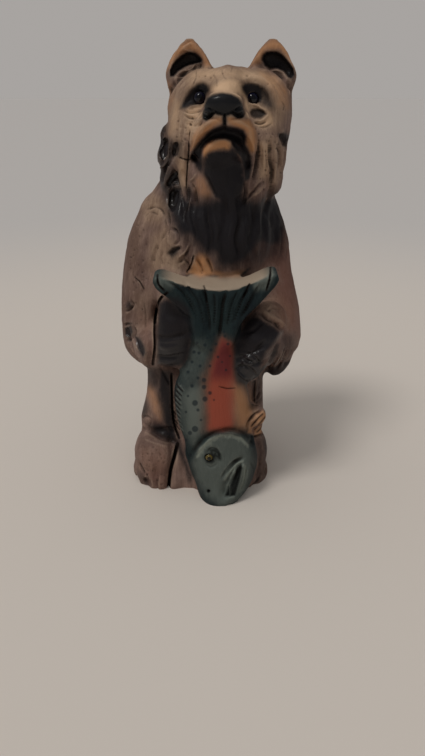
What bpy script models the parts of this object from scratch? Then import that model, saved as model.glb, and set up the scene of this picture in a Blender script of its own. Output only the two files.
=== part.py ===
"""A carved wooden bear that holds a trout head down: one carved log, and the three glass eyes set in it.

The bear faces -Y and stands on z = 0. Its own right hand is at -X.
"""
import math

import bmesh
import bpy
import numpy as np
from mathutils import Euler, Matrix, Vector

# Height from the floor to the ear tips. The carving's places below are mm on a bear of DRAWN_HEIGHT.
HEIGHT = 0.637
DRAWN_HEIGHT = 637
MM = HEIGHT / DRAWN_HEIGHT

# The glass eyes in mm: name, centre and diameter. A socket is this much wider all round than its eye.
GLASS_EYES = (
    ("bear_right_eye", (1, -47, 567), 16.5),
    ("bear_left_eye", (67, -47, 566), 16.5),
    ("trout_eye", (12, -127, 83), 12.5),
)
SOCKET_CLEARANCE = 0.3

# The grain of the rough block's surface in mm, and the most triangles that the finished log keeps.
ROUGH_CELL = 3.6
LOG_TRIANGLES = 8600
FLOOR_SINK = 14

# Height, middle x, middle y, half width and half depth of the log's own sections.
TORSO = (
    (-FLOOR_SINK, 0, 4, 112, 96),
    (30, -1, 4, 107, 96),
    (60, -2, 5, 102, 92),
    (100, 0, 8, 94, 86),
    (150, 3, 10, 84, 84),
    (200, 7, 12, 84, 88),
    (250, 11, 14, 97, 94),
    (300, 12, 16, 102, 97),
    (350, 12, 18, 106, 98),
    (400, 14, 20, 102, 95),
    (440, 18, 22, 90, 88),
    (480, 30, 24, 76, 76),
    (510, 38, 26, 66, 66),
)

# The head and its mane, as sections from the neck up to the crown.
HEAD = (
    (416, 18, -2, 52, 66),
    (436, 22, 0, 70, 72),
    (456, 28, 4, 80, 76),
    (480, 33, 8, 86, 78),
    (505, 34, 12, 88, 79),
    (530, 40, 16, 86, 78),
    (560, 41, 20, 86, 76),
    (583, 42, 16, 77, 60),
    (600, 42, 10, 54, 38),
)

# The trout's sections, from the tip of its snout up to its tail root.
TROUT = (
    (-FLOOR_SINK, 28, -92, 22, 38),
    (0, 29, -93, 35, 47),
    (15, 33, -93, 43, 45),
    (35, 35, -92, 49, 44),
    (60, 34, -91, 54, 44),
    (95, 27, -90, 54, 42),
    (120, 21, -92, 55, 38),
    (150, 17, -94, 56, 37),
    (180, 15, -95, 55, 36),
    (205, 15, -96, 46, 35),
    (232, 18, -98, 35, 32),
    (258, 20, -100, 29, 30),
    (285, 20, -101, 32, 28),
)

# The tail fin's outline from its root round by the bear's right tip, as x and z.
TAIL_OUTLINE = (
    (20, 250), (-8, 264), (-13, 292), (-28, 314), (-46, 330), (-60, 343), (-63, 353), (-57, 360),
    (-46, 358), (-30, 352), (-12, 347), (4, 344), (20, 342), (36, 342), (52, 345), (68, 351),
    (84, 359), (95, 364), (103, 361), (105, 351), (96, 339), (80, 320), (64, 304), (54, 290), (48, 264),
)
TAIL_FRONT = -131
TAIL_THICKNESS = 38
TAIL_LIFT = 3

# Limbs as stations of x, y, z and radius.
LIMBS = (
    ((-50, 12, 405, 44), (-64, 4, 370, 46), (-74, -8, 320, 45), (-79, -20, 270, 43), (-80, -30, 236, 40)),
    ((-80, -30, 232, 38), (-64, -60, 234, 36), (-44, -82, 250, 30)),
    ((-38, -80, 312, 24), (-34, -92, 286, 27), (-34, -94, 256, 27), (-36, -90, 236, 23)),
    ((76, 14, 412, 42), (86, 4, 372, 45), (94, -8, 322, 44), (104, -22, 276, 45), (109, -34, 240, 43)),
    ((108, -38, 240, 43), (98, -66, 244, 38), (84, -82, 254, 34)),
    ((96, -80, 284, 27), (82, -92, 262, 31), (73, -96, 238, 29), (67, -96, 217, 23)),
    ((-48, -40, 200, 36), (-52, -38, 145, 36), (-60, -32, 95, 40)),
    ((58, -36, 200, 38), (59, -34, 145, 39), (61, -32, 95, 40)),
    ((36, -40, 582, 24), (33, -74, 572, 19), (31, -104, 563, 15)),
)

# Rounded masses: centre, radii, and the turn in degrees about x, y and z.
MASSES = (
    # The back of the neck, the throat and the chest behind the tail fin.
    ((30, 36, 474), (80, 66, 72), (0, 0, 0)),
    ((34, -40, 452), (58, 54, 74), (8, 0, 0)),
    ((24, -42, 388), (76, 58, 82), (0, 0, 0)),
    ((8, -34, 318), (88, 60, 62), (0, 0, 0)),
    # The face's dome, its cheeks and the muzzle's root.
    ((41, -20, 548), (77, 48, 57), (0, 0, 0)),
    ((0, -26, 512), (46, 44, 62), (0, 10, 0)),
    ((76, -24, 512), (41, 44, 62), (0, -8, 0)),
    ((33, -62, 556), (23, 42, 32), (0, 0, 0)),
    ((31, -60, 526), (44, 38, 26), (0, 0, 0)),
    # The upper lips, the muzzle between them and the nose.
    ((10, -82, 524), (22, 34, 29), (-6, 14, 0)),
    ((52, -80, 522), (22, 34, 30), (-6, -14, 0)),
    ((31, -92, 541), (33, 37, 22), (-10, 0, 0)),
    ((30, -104, 551), (23, 25, 18), (0, 0, 0)),
    ((30, -116, 562), (25, 17, 14.5), (-8, 0, 0)),
    # The chin and the jaw under it.
    ((23, -82, 503), (23, 27, 21), (-12, 0, 0)),
    ((28, -66, 480), (31, 32, 30), (0, 0, 0)),
    # The heels and the toes, and the little bulge of the pectoral fin.
    ((-62, -44, 42), (50, 54, 50), (0, 0, 0)),
    ((-58, -46, 12), (57, 53, 42), (0, 0, 0)),
    ((66, -40, 42), (42, 50, 50), (0, 0, 0)),
    ((62, -42, 4), (48, 50, 38), (0, 0, 0)),
    ((80, -96, 136), (19, 16, 18), (0, -20, 0)),
    # The tufts that stand out below the elbows.
    ((-101, -18, 224), (13, 22, 32), (0, -28, 0)),
    ((121, -30, 209), (20, 27, 39), (0, 16, 0)),
    # The mane's outer locks on the bear's right, from the top down, and the one on its left.
    ((-43, -16, 522), (12, 20, 14), (0, 0, 0)),
    ((-46, -22, 497), (13, 20, 19), (0, 8, 0)),
    ((-43, -26, 468), (13, 20, 19), (0, 14, 0)),
    ((-32, -30, 440), (13, 20, 20), (0, 24, 0)),
    ((98, -24, 474), (16, 26, 30), (0, -10, 0)),
)

# The ears: middle x, and the ear's own half width, half depth and height above its middle.
EAR_PLACES = (-13, 96)
EAR_MIDDLE = (14, 596)
EAR_RADII = (35, 19, 44)
EAR_TAPER = 0.36

# Hollows pressed straight back: centre, radii, depth, and how square the hollow's wall is.
HOLLOWS = (
    ((-13, -4, 605), (24, 34, 20), 14, 0.7),
    ((97, -4, 604), (24, 34, 20), 14, 0.7),
    ((-1, -60, 565), (21, 44, 17), 11, 1.0),
    ((69, -60, 565), (21, 44, 17), 11, 1.0),
    ((74, -60, 550), (13, 40, 8), 5, 1.0),
    ((48, -100, 46), (15, 60, 12), 4, 1.0),
)

# The mouth's arch round the chin, and other deep cuts: half width, depth and a path of x and z.
DEEP_CUTS = (
    (7.5, 24, ((-8, 488), (-4, 504), (6, 520), (20, 529), (34, 531), (48, 526), (59, 513), (64, 490))),
    (5.5, 12, ((60, 78), (50, 70), (42, 52), (37, 30), (34, 14))),
    (6.5, 13, ((-48, 92), (-45, 60), (-50, 30), (-56, -6))),
    (6.0, 14, ((-49, 316), (-60, 304), (-67, 270), (-71, 232), (-73, 206))),
    (6.0, 10, ((-12, 476), (-10, 460), (-2, 440))),
    (6.0, 10, ((66, 478), (62, 458), (54, 440))),
)

# Grooves cut after the block is smoothed: half width, depth and a path of x and z.
GROOVES = (
    # The mane's locks on the bear's right, then those on its left.
    (5.5, 4.5, ((-28, 519), (-26, 492), (-20, 454), (-24, 430))),
    (5.5, 4.5, ((-37, 508), (-41, 494), (-53, 462))),
    (5.5, 4.5, ((-30, 492), (-40, 458), (-44, 438))),
    (5.0, 4.0, ((-50, 528), (-46, 515), (-52, 498))),
    (5.5, 4.0, ((-12, 527), (-16, 492), (-17, 467), (-10, 440))),
    (6.0, 4.5, ((76, 516), (77, 494), (75, 474), (66, 452))),
    (6.0, 4.5, ((92, 516), (96, 494), (93, 460))),
    (6.0, 4.5, ((112, 524), (106, 506), (110, 462))),
    # The chest's long strokes.
    (6.5, 4.5, ((-22, 436), (-24, 410), (-16, 384), (-18, 356))),
    (6.5, 4.5, ((-4, 456), (-8, 428), (-1, 398), (2, 366))),
    (6.5, 4.5, ((12, 462), (11, 432), (15, 398), (12, 362))),
    (6.5, 4.5, ((32, 456), (34, 424), (31, 394), (35, 362))),
    (6.5, 4.5, ((50, 462), (56, 432), (51, 400), (57, 366))),
    (6.5, 4.5, ((68, 450), (74, 424), (70, 394), (77, 364))),
    (6.5, 4.5, ((88, 440), (88, 404), (84, 368))),
    # The nose's lower edge and the line down to the lip.
    (4.5, 4.0, ((6, 552), (16, 545), (30, 543), (44, 545), (54, 552))),
    (4.0, 4.0, ((30, 546), (30, 530))),
    # The fingers on both sides of the trout.
    (5.0, 5.0, ((-58, 300), (-36, 302), (-12, 299))),
    (5.0, 5.0, ((-60, 279), (-36, 280), (-12, 277))),
    (5.0, 5.0, ((-60, 258), (-36, 258), (-12, 255))),
    (5.0, 5.0, ((-58, 238), (-36, 236), (-14, 234))),
    (5.0, 5.0, ((112, 284), (84, 276), (54, 280))),
    (5.0, 5.0, ((114, 262), (84, 254), (52, 260))),
    (5.0, 5.0, ((110, 240), (80, 232), (54, 240))),
    # The tail fin's flutes.
    (5.0, 3.5, ((-46, 346), (-30, 326), (-8, 296))),
    (5.0, 3.5, ((-20, 346), (-8, 322), (4, 290))),
    (5.0, 3.5, ((5, 340), (8, 314), (11, 278))),
    (5.0, 3.5, ((33, 340), (30, 314), (27, 276))),
    (5.0, 3.5, ((62, 346), (50, 324), (39, 288))),
    (5.0, 3.5, ((86, 350), (70, 326), (50, 300))),
    # The trout's gill cover, and the pectoral fin's rays.
    (5.5, 4.5, ((-18, 66), (-10, 92), (6, 116), (28, 128), (52, 128), (68, 115), (76, 100))),
    (4.0, 3.0, ((70, 136), (84, 144), (94, 154))),
    (4.0, 3.0, ((74, 126), (86, 134), (97, 142))),
    # The toes, the ankles' creases and the tufts at the elbows.
    (4.5, 4.0, ((-99, 40), (-94, 0))),
    (4.5, 4.0, ((-74, 44), (-74, 0))),
    (4.5, 4.0, ((94, 40), (90, 0))),
    (6.5, 6.0, ((-100, 96), (-76, 92), (-52, 96), (-38, 90))),
    (6.5, 6.0, ((98, 96), (84, 92), (72, 96))),
    (6.0, 5.0, ((-112, 262), (-106, 236), (-90, 206))),
    (5.0, 4.0, ((-114, 302), (-104, 284), (-108, 268))),
    (6.0, 5.0, ((112, 236), (106, 212), (100, 196))),
    (6.0, 5.0, ((128, 240), (120, 216), (114, 200))),
    (6.0, 5.0, ((146, 236), (136, 212))),
    # The shoulder's edge over the bear's right arm.
    (5.0, 2.5, ((-78, 420), (-66, 434), (-52, 430), (-44, 414))),
)

# Broad gouges down the back and sides: how many round the log, their rows, and each one's half width and depth.
# A gouge is longer than the step from row to row by this share, so that the rows overlap.
BACK_GOUGES = 15
BACK_ROWS = 8
BACK_FIRST_ROW = 70
BACK_ROW_STEP = 64
BACK_OVERLAP = 0.3
BACK_HALF_WIDTH = 9
BACK_DEPTH = 2.4

# Colour, roughness and metallic of each material.
WOOD_LOOK = ((0.2, 0.13, 0.1, 1), 0.62, 0)
BEAR_EYE_LOOK = ((0.012, 0.01, 0.014, 1), 0.08, 0)
TROUT_EYE_LOOK = ((0.35, 0.24, 0.05, 1), 0.08, 0)


def smooth_path(points, steps):
    """Points on a Catmull-Rom curve through the given ones, any number of coordinates each."""
    knots = np.array(points, float)
    padded = np.vstack([2 * knots[0] - knots[1], knots, 2 * knots[-1] - knots[-2]])
    found = []
    for i in range(len(knots) - 1):
        a, b, c, d = padded[i:i + 4]
        for t in np.arange(steps) / steps:
            bend = (2 * a - 5 * b + 4 * c - d) * t ** 2 + (3 * b - a - 3 * c + d) * t ** 3
            found.append(0.5 * (2 * b + (c - a) * t + bend))
    found.append(knots[-1])
    return np.array(found)


def add_form(block, form):
    """Adds one finished form to the block, and frees it."""
    mesh = bpy.data.meshes.new("form")
    bmesh.ops.recalc_face_normals(form, faces=form.faces)
    form.to_mesh(mesh)
    form.free()
    block.from_mesh(mesh)
    bpy.data.meshes.remove(mesh)


def add_ball(block, centre, radii, turn=(0, 0, 0), taper=0.0):
    """An ellipsoid, narrowed towards its top by taper and turned by degrees about x, y and z."""
    form = bmesh.new()
    bmesh.ops.create_uvsphere(form, u_segments=28, v_segments=18, radius=1)
    place = Matrix.Translation(centre) @ Euler([math.radians(a) for a in turn]).to_matrix().to_4x4()
    for vert in form.verts:
        narrow = 1 - taper * max(0.0, vert.co.z)
        vert.co = place @ Vector((vert.co.x * radii[0] * narrow, vert.co.y * radii[1] * narrow, vert.co.z * radii[2]))
    add_form(block, form)


def add_limb(block, stations, steps=5):
    """A round limb through stations of x, y, z and radius, as balls that overlap along it."""
    for x, y, z, radius in smooth_path(stations, steps):
        form = bmesh.new()
        bmesh.ops.create_uvsphere(form, u_segments=20, v_segments=12, radius=radius, matrix=Matrix.Translation((x, y, z)))
        add_form(block, form)


def add_column(block, sections, steps=5, squareness=2.2, sides=56):
    """A closed upright form through sections of height, middle x, middle y, half width and half depth."""
    form = bmesh.new()
    rings = []
    for height, x, y, half_width, half_depth in smooth_path(sections, steps):
        ring = []
        for k in range(sides):
            turn = math.tau * k / sides
            across, deep = (math.copysign(abs(c) ** (2 / squareness), c) for c in (math.cos(turn), math.sin(turn)))
            ring.append(form.verts.new((x + across * half_width, y + deep * half_depth, height)))
        rings.append(ring)
    for lower, upper in zip(rings, rings[1:]):
        for k in range(sides):
            form.faces.new((lower[k - 1], lower[k], upper[k], upper[k - 1]))
    form.faces.new(rings[0])
    form.faces.new(rings[-1])
    add_form(block, form)


def add_slab(block, outline, front, thickness, lift):
    """A flat outline of x and z, drawn at the front and extruded back and up."""
    form = bmesh.new()
    face = form.faces.new([form.verts.new((x, front, z)) for x, z in outline])
    made = bmesh.ops.extrude_face_region(form, geom=[face])["geom"]
    back = [item for item in made if isinstance(item, bmesh.types.BMVert)]
    bmesh.ops.translate(form, vec=(0, thickness, lift), verts=back)
    add_form(block, form)


def rough_forms(block):
    """The masses that the log is roughed out to."""
    for sections in (TORSO, HEAD, TROUT):
        add_column(block, sections)
    add_slab(block, TAIL_OUTLINE, TAIL_FRONT, TAIL_THICKNESS, TAIL_LIFT)
    for stations in LIMBS:
        add_limb(block, stations)
    for centre, radii, turn in MASSES:
        add_ball(block, centre, radii, turn)
    for x in EAR_PLACES:
        add_ball(block, (x, *EAR_MIDDLE), EAR_RADII, taper=EAR_TAPER)


class Surface:
    """A mesh's points and outward normals, which the carving cuts move."""

    def __init__(self, mesh):
        self.mesh = mesh
        self.read()

    def read(self):
        self.places = np.empty((len(self.mesh.vertices), 3))
        self.normals = np.empty((len(self.mesh.vertices), 3))
        self.mesh.vertices.foreach_get("co", self.places.ravel())
        self.mesh.vertices.foreach_get("normal", self.normals.ravel())

    def settle(self):
        """Moves the mesh to the carved points and takes the normals that it has now."""
        self.mesh.vertices.foreach_set("co", self.places.ravel())
        self.mesh.update()
        self.read()


def press_hollow(surface, centre, radii, depth, squareness):
    """Presses a round hollow straight back into what faces the front."""
    gap = np.linalg.norm((surface.places - centre) / radii, axis=1)
    near = np.flatnonzero((gap < 1) & (surface.normals[:, 1] < 0))
    facing = np.clip(-2 * surface.normals[near, 1], 0, 1)
    surface.places[near, 1] += depth * facing * (1 - gap[near] ** 2) ** squareness


def cut_groove(surface, half_width, depth, path, straight_back=False):
    """Cuts a groove along a path of x and z into what faces the front."""
    spots = smooth_path(path, 8)
    seen = surface.places[:, [0, 2]]
    inside = (seen > spots.min(axis=0) - half_width) & (seen < spots.max(axis=0) + half_width)
    near = np.flatnonzero(inside.all(axis=1) & (surface.normals[:, 1] < -0.1))
    gaps = np.linalg.norm(seen[near, None] - spots[None], axis=2)
    along = gaps.argmin(axis=1) / (len(spots) - 1)
    fade = np.minimum(1, 5 * np.minimum(along + 0.08, 1.08 - along))
    amount = depth * fade * np.clip(1 - (gaps.min(axis=1) / half_width) ** 2, 0, 1) ** 1.4
    cut = np.array([[0, -1, 0]]) if straight_back else surface.normals[near]
    surface.places[near] -= cut * amount[:, None]


def gouge_back(surface):
    """Shallow upright gouges in staggered rows round the sides and the back."""
    middle = np.interp(surface.places[:, 2], [s[0] for s in TORSO], [s[1] for s in TORSO])
    around = np.arctan2(surface.places[:, 0] - middle, surface.places[:, 1] - 16)
    radius = np.hypot(surface.places[:, 0] - middle, surface.places[:, 1] - 16)
    behind = np.clip((surface.places[:, 1] + 10) / 30, 0, 1) * (np.abs(surface.normals[:, 2]) < 0.8)
    half_length = BACK_ROW_STEP / 2 * (1 + BACK_OVERLAP)
    for number in range(BACK_ROWS):
        row = BACK_FIRST_ROW + number * BACK_ROW_STEP
        for k in range(BACK_GOUGES):
            turn = math.tau * (k + 0.5 * (number % 2)) / BACK_GOUGES - math.pi
            aside = (around - turn + math.pi) % math.tau - math.pi
            gap = np.hypot(aside * radius / BACK_HALF_WIDTH, (surface.places[:, 2] - row) / half_length)
            amount = BACK_DEPTH * behind * np.clip(1 - gap ** 2, 0, 1)
            surface.places -= surface.normals * amount[:, None]


def new_object(name, mesh, collection):
    made = bpy.data.objects.new(name, mesh)
    collection.objects.link(made)
    return made


def finished_mesh(thing):
    """The mesh that an object's modifiers make, and the object removed."""
    bpy.context.view_layer.update()
    mesh = bpy.data.meshes.new_from_object(thing.evaluated_get(bpy.context.evaluated_depsgraph_get()))
    bpy.data.objects.remove(thing)
    return mesh


def keep_outer_skin(mesh):
    """Removes every skin but the largest, such as one round a hollow sealed between two masses."""
    shape = bmesh.new()
    shape.from_mesh(mesh)
    left = set(shape.verts)
    skins = []
    while left:
        reached = [left.pop()]
        for vert in reached:
            nearby = {edge.other_vert(vert) for edge in vert.link_edges} & left
            left -= nearby
            reached.extend(nearby)
        skins.append(reached)
    outer = max(skins, key=len)
    for skin in skins:
        if skin is not outer:
            bmesh.ops.delete(shape, geom=skin, context="VERTS")
    shape.to_mesh(mesh)
    shape.free()
    return mesh


def fused(mesh, collection, softening):
    """One closed skin round everything in the mesh, smoothed this many times."""
    thing = new_object("fused", mesh, collection)
    fuse = thing.modifiers.new("fuse", "REMESH")
    fuse.mode = "VOXEL"
    fuse.voxel_size = ROUGH_CELL
    soften = thing.modifiers.new("soften", "SMOOTH")
    soften.factor = 0.5
    soften.iterations = softening
    return keep_outer_skin(finished_mesh(thing))


def thinned(mesh, collection):
    """The mesh with its flat places made of few triangles, and most of those left kept for the front."""
    thing = new_object("thinned", mesh, collection)
    surface = Surface(mesh)
    front = surface.normals[:, 1] < 0.1
    face = front & (surface.places[:, 2] > 480)
    held = front & (surface.places[:, 1] < -60)
    group = thing.vertex_groups.new(name="coarse")
    for chosen, weight in ((~front, 1.0), (front, 0.7), (held, 0.5), (face, 0.35)):
        group.add(np.flatnonzero(chosen).tolist(), weight, "REPLACE")
    thin = thing.modifiers.new("thin", "DECIMATE")
    thin.ratio = LOG_TRIANGLES / (2 * len(mesh.polygons))
    thin.vertex_group = group.name
    thin.vertex_group_factor = 0.03
    return finished_mesh(thing)


def stand_flat(mesh):
    """Cuts off what is below the floor, closes the underside flat and brings the bear to its true size."""
    shape = bmesh.new()
    shape.from_mesh(mesh)
    everything = list(shape.verts) + list(shape.edges) + list(shape.faces)
    bmesh.ops.bisect_plane(shape, geom=everything, plane_co=(0, 0, 0), plane_no=(0, 0, 1), clear_inner=True)
    rim = [edge for edge in shape.edges if edge.is_boundary]
    bmesh.ops.triangle_fill(shape, use_beauty=True, use_dissolve=False, edges=rim, normal=(0, 0, -1))
    bmesh.ops.recalc_face_normals(shape, faces=shape.faces)
    bmesh.ops.scale(shape, vec=(MM, MM, MM), verts=shape.verts)
    shape.to_mesh(mesh)
    shape.free()


def carve_log(collection):
    block = bmesh.new()
    rough_forms(block)
    mesh = bpy.data.meshes.new("block")
    block.to_mesh(mesh)
    block.free()
    mesh = fused(mesh, collection, softening=3)
    surface = Surface(mesh)
    for centre, radii, depth, squareness in HOLLOWS:
        press_hollow(surface, centre, radii, depth, squareness)
    for half_width, depth, path in DEEP_CUTS:
        cut_groove(surface, half_width, depth, path, straight_back=True)
    surface.settle()
    mesh = fused(mesh, collection, softening=4)
    surface = Surface(mesh)
    for half_width, depth, path in GROOVES:
        cut_groove(surface, half_width, depth, path)
    gouge_back(surface)
    surface.settle()
    mesh = thinned(mesh, collection)
    stand_flat(mesh)
    mesh.name = "carved_bear"
    return new_object("carved_bear", mesh, collection)


def glass_ball(name, centre, diameter, collection):
    """A round glass eye, or with a wider diameter the cutter of its socket."""
    shape = bmesh.new()
    bmesh.ops.create_uvsphere(shape, u_segments=16, v_segments=8, radius=diameter / 2 * MM)
    bmesh.ops.rotate(shape, cent=(0, 0, 0), matrix=Matrix.Rotation(math.radians(90), 3, "X"), verts=shape.verts)
    bmesh.ops.translate(shape, vec=[c * MM for c in centre], verts=shape.verts)
    mesh = bpy.data.meshes.new(name)
    shape.to_mesh(mesh)
    shape.free()
    return new_object(name, mesh, collection)


def cut_sockets(bear, cutters):
    """One round socket in the log behind each glass eye."""
    for name, centre, diameter in GLASS_EYES:
        ball = glass_ball(name + "_socket", centre, diameter + 2 * SOCKET_CLEARANCE, cutters)
        ball.display_type = "WIRE"
        ball.hide_render = True
        socket = bear.modifiers.new(name + "_socket", "BOOLEAN")
        socket.operation = "DIFFERENCE"
        socket.solver = "EXACT"
        socket.object = ball


def give_material(thing, look):
    colour, roughness, metallic = look
    material = bpy.data.materials.new(thing.name)
    material.use_nodes = True
    shader = material.node_tree.nodes["Principled BSDF"]
    shader.inputs["Base Color"].default_value = colour
    shader.inputs["Roughness"].default_value = roughness
    shader.inputs["Metallic"].default_value = metallic
    thing.data.materials.clear()
    thing.data.materials.append(material)


def clear_scene():
    for thing in list(bpy.data.objects):
        bpy.data.objects.remove(thing)


def new_collection(name):
    made = bpy.data.collections.new(name)
    bpy.context.scene.collection.children.link(made)
    return made


def main():
    clear_scene()
    parts = new_collection("carved wooden bear")
    cutters = new_collection("cutters")
    bear = carve_log(parts)
    give_material(bear, WOOD_LOOK)
    cut_sockets(bear, cutters)
    for name, centre, diameter in GLASS_EYES:
        eye = glass_ball(name, centre, diameter, parts)
        give_material(eye, TROUT_EYE_LOOK if name == "trout_eye" else BEAR_EYE_LOOK)


main()
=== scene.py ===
"""The looks of the carved wooden bear: its fine carving and paint, its glass eyes, and the studio round it.

Strokes and painted places are given where they show in the front view, in its own units: u to the right and
v down on a view 425 wide and 756 high. Depths and other places are in mm, with the bear facing -Y.
"""

import math

import bmesh
import bpy
import numpy as np
from mathutils import Matrix, Vector


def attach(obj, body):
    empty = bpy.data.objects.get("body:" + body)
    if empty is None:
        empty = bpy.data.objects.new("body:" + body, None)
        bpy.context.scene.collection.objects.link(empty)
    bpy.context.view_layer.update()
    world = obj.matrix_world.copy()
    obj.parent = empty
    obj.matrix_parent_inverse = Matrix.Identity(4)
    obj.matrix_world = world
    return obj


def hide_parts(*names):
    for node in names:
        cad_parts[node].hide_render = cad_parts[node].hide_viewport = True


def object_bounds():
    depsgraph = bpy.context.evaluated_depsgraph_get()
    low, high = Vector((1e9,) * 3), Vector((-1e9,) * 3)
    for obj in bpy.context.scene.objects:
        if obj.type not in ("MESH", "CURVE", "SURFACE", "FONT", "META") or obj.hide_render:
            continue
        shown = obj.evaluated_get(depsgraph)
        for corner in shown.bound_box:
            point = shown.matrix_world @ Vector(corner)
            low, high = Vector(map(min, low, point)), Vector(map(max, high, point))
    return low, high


# The front view: where its camera stands in mm, how far down it looks, and its lens in the view's units.
VIEW_WIDTH = 425
VIEW_HEIGHT = 756
CAMERA_PLACE = (17, -884, 574)
CAMERA_PITCH = 25.5
CAMERA_LENS = 600
SENSOR_HEIGHT = 36

# The log: its skin's cell in mm, how often that is smoothed, the height in mm below which its faces are the
# underside, how far that is drawn below the floor before it is cut flat, and the most triangles.
SKIN_CELL = 1.15
SKIN_SOFTENING = 18
UNDERSIDE_HEIGHT = 0.01
FLOOR_SINK = 14
LOG_TRIANGLES = 196000
# How few triangles a part gets, from 0 for all of them to 1 for the fewest. The back has 1, and what paint
# reaches has this much less. Then come the trout's value and the margin round it in mm, the head's value and
# the v at which it ends, the value along paints' edges, and how many steps the values are kept in.
REACH_FINER = 0.45
TROUT_COARSE = 0.25
TROUT_FINE_MARGIN = 4
HEAD_COARSE = 0.3
HEAD_END = 210
PAINT_EDGE_COARSE = 0.1
COARSE_LEVELS = 20
# Edges that turn by more than this, in degrees, look sharp.
SHARP_EDGE = 62

# What shows from the front is found in square cells of the view, this wide and this many each way. Carving
# begins and is in full where the skin faces the view by these amounts, 0 for edge-on, and reaches points
# less than this far in mm behind the nearest one of their cell. Its reach is spread over neighbours this
# many times. Paint has such values of its own. Where the skin turns away by the last amounts, it fades out
# between the last distances.
SIGHT_CELL = 2
SIGHT_CELLS = 400
CARVED_FACING = (0.02, 0.25)
CARVED_BEHIND = 14
CARVED_SPREAD = 4
PAINTED_FACING = (0.0, 0.15)
PAINTED_BEHIND = 24
PAINTED_SPREAD = 3
FADED_FACING = (-0.3, 0.0)
FADED_BEHIND = (4, 30)

# Gouge marks: the middle of the log that they run round and its radius in mm, where the long strokes of the
# back begin and are in full in y, and the depths of those strokes, of finer ones, of facets all over and
# their ripple.
LOG_MIDDLE = (10, 12)
LOG_RADIUS = 105
STROKES_FROM = (-30, 25)
STROKE_DEPTH = 1.7
FINE_STROKE_DEPTH = 0.6
FACET_DEPTH = 0.3
RIPPLE_DEPTH = 0.14

# Painted shade and wear: how often the skin is smoothed to find fine crevices and broad hollows, which get
# painted shade, the depths in mm at which each begins to show and shows fully, and the same for the raised
# edges, worn or given painted highlights, less this share of a broad swelling.
FINE_ROUNDS = 6
BROAD_ROUNDS = 60
HOLLOW_DEPTHS = (0.35, 3.0)
CREVICE_DEPTHS = (0.12, 0.6)
EDGE_HEIGHTS = (0.12, 0.8)
BROAD_SHARE = 0.2

# How many points a groove's or a slit's path gets from one given point to the next, how steeply its ends
# rise and from how far before them, and how round a groove is.
GROOVE_STEPS = 8
GROOVE_ENDS = (4, 0.06)
GROOVE_ROUNDNESS = 1.4
SLIT_STEPS = 48
SLIT_ENDS = (5, 0.05)
# How near a slit's line a point is drawn onto it, in view units, and how soft the edge of a slit's black is.
SLIT_REACH = 0.55
SLIT_BLACK_EDGE = (-0.4, 0.5)

# Grooves: half width in view units, depth in mm, path of u and v. A negative depth leaves a ridge.
FACE_GROOVES = (
    # The step round the face's dome, on both sides of the forehead.
    (3.6, 3.4, ((164, 112), (166, 101), (171, 90), (178, 80.5), (186, 73), (196, 67.5), (206, 64.5))),
    (2.2, -2.0, ((168.5, 112), (171.5, 98), (177, 87), (184, 77.5), (191, 71), (201, 67.5))),
    (3.6, 3.4, ((258, 64), (270, 68), (279, 74), (287, 82), (291.5, 93), (292.5, 108))),
    (2.2, -2.0, ((256, 68.5), (267, 71.5), (276, 77), (284, 86), (287.5, 97), (288.5, 110))),
    # The brows over the eyes.
    (3.6, -2.6, ((182, 98), (187, 89), (194, 82), (203, 80), (210, 84))),
    (3.6, -2.4, ((240, 81), (249, 78.5), (259, 79), (267, 83), (273, 91), (276, 100))),
    # The eyelids, and the wrinkles under the eyes.
    (1.7, -2.2, ((187, 109.5), (192, 107), (198, 105.8), (205, 103.5))),
    (1.7, 2.2, ((183, 110.5), (190, 112.5), (198, 111.3), (202, 109.5))),
    (1.3, -1.2, ((184, 112.8), (190, 115.2), (198, 114.6), (202, 112.5))),
    (1.7, 2.2, ((184, 114.8), (190, 118), (198, 117.8), (202, 115))),
    (1.3, -1.0, ((186, 118), (191, 120.6), (198, 120.2))),
    (1.7, 1.8, ((187, 123), (194, 125.5), (201, 122.5))),
    (1.7, -2.2, ((248, 103.5), (253, 104.5), (258, 106.5), (265, 110.5))),
    (1.7, -1.8, ((249, 118), (255, 121), (262, 120.5), (269, 114.5))),
    (1.4, 1.6, ((254, 122), (260, 124), (267, 121.5))),
    (1.3, 1.2, ((258, 127.5), (266, 127), (273, 123))),
    # The crest from the bridge down beside the nose.
    (2.0, -1.6, ((242, 88), (245, 98), (247, 108), (249, 117))),
    # Creases down the cheeks.
    (2.4, 2.2, ((178, 116), (177, 127), (176, 138))),
    (2.0, -1.0, ((172, 114), (170, 126), (169, 136))),
    (2.2, 2.0, ((184, 122), (182, 134), (181, 146))),
    (2.4, 2.4, ((203, 120), (197, 128), (193, 138), (190, 150))),
    (2.4, 2.2, ((250, 121), (256, 130), (258, 142))),
)

NOSE_GROOVES = (
    (1.9, 3.0, ((204.5, 107), (212, 110.8), (219, 114), (224, 115.5))),
    (1.9, 3.0, ((225, 115.5), (231, 113), (238, 109), (243, 106))),
    (2.4, 5.2, ((203.5, 115), (206, 118), (211, 115.5), (214, 113))),
    (2.4, 5.2, ((244, 113), (240, 116.5), (236, 115), (233, 113))),
    (1.8, -1.6, ((203.5, 111), (208, 110.5), (212, 112))),
    (1.8, -1.6, ((243, 109), (239, 111), (235, 112))),
    (1.5, 3.6, ((224.5, 114), (224.5, 120), (225, 128))),
    (2.8, -2.2, ((199, 134), (205, 126), (213, 121), (220, 121))),
    (2.8, -2.2, ((228, 121), (239, 122), (248, 128), (252, 140))),
)

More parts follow.
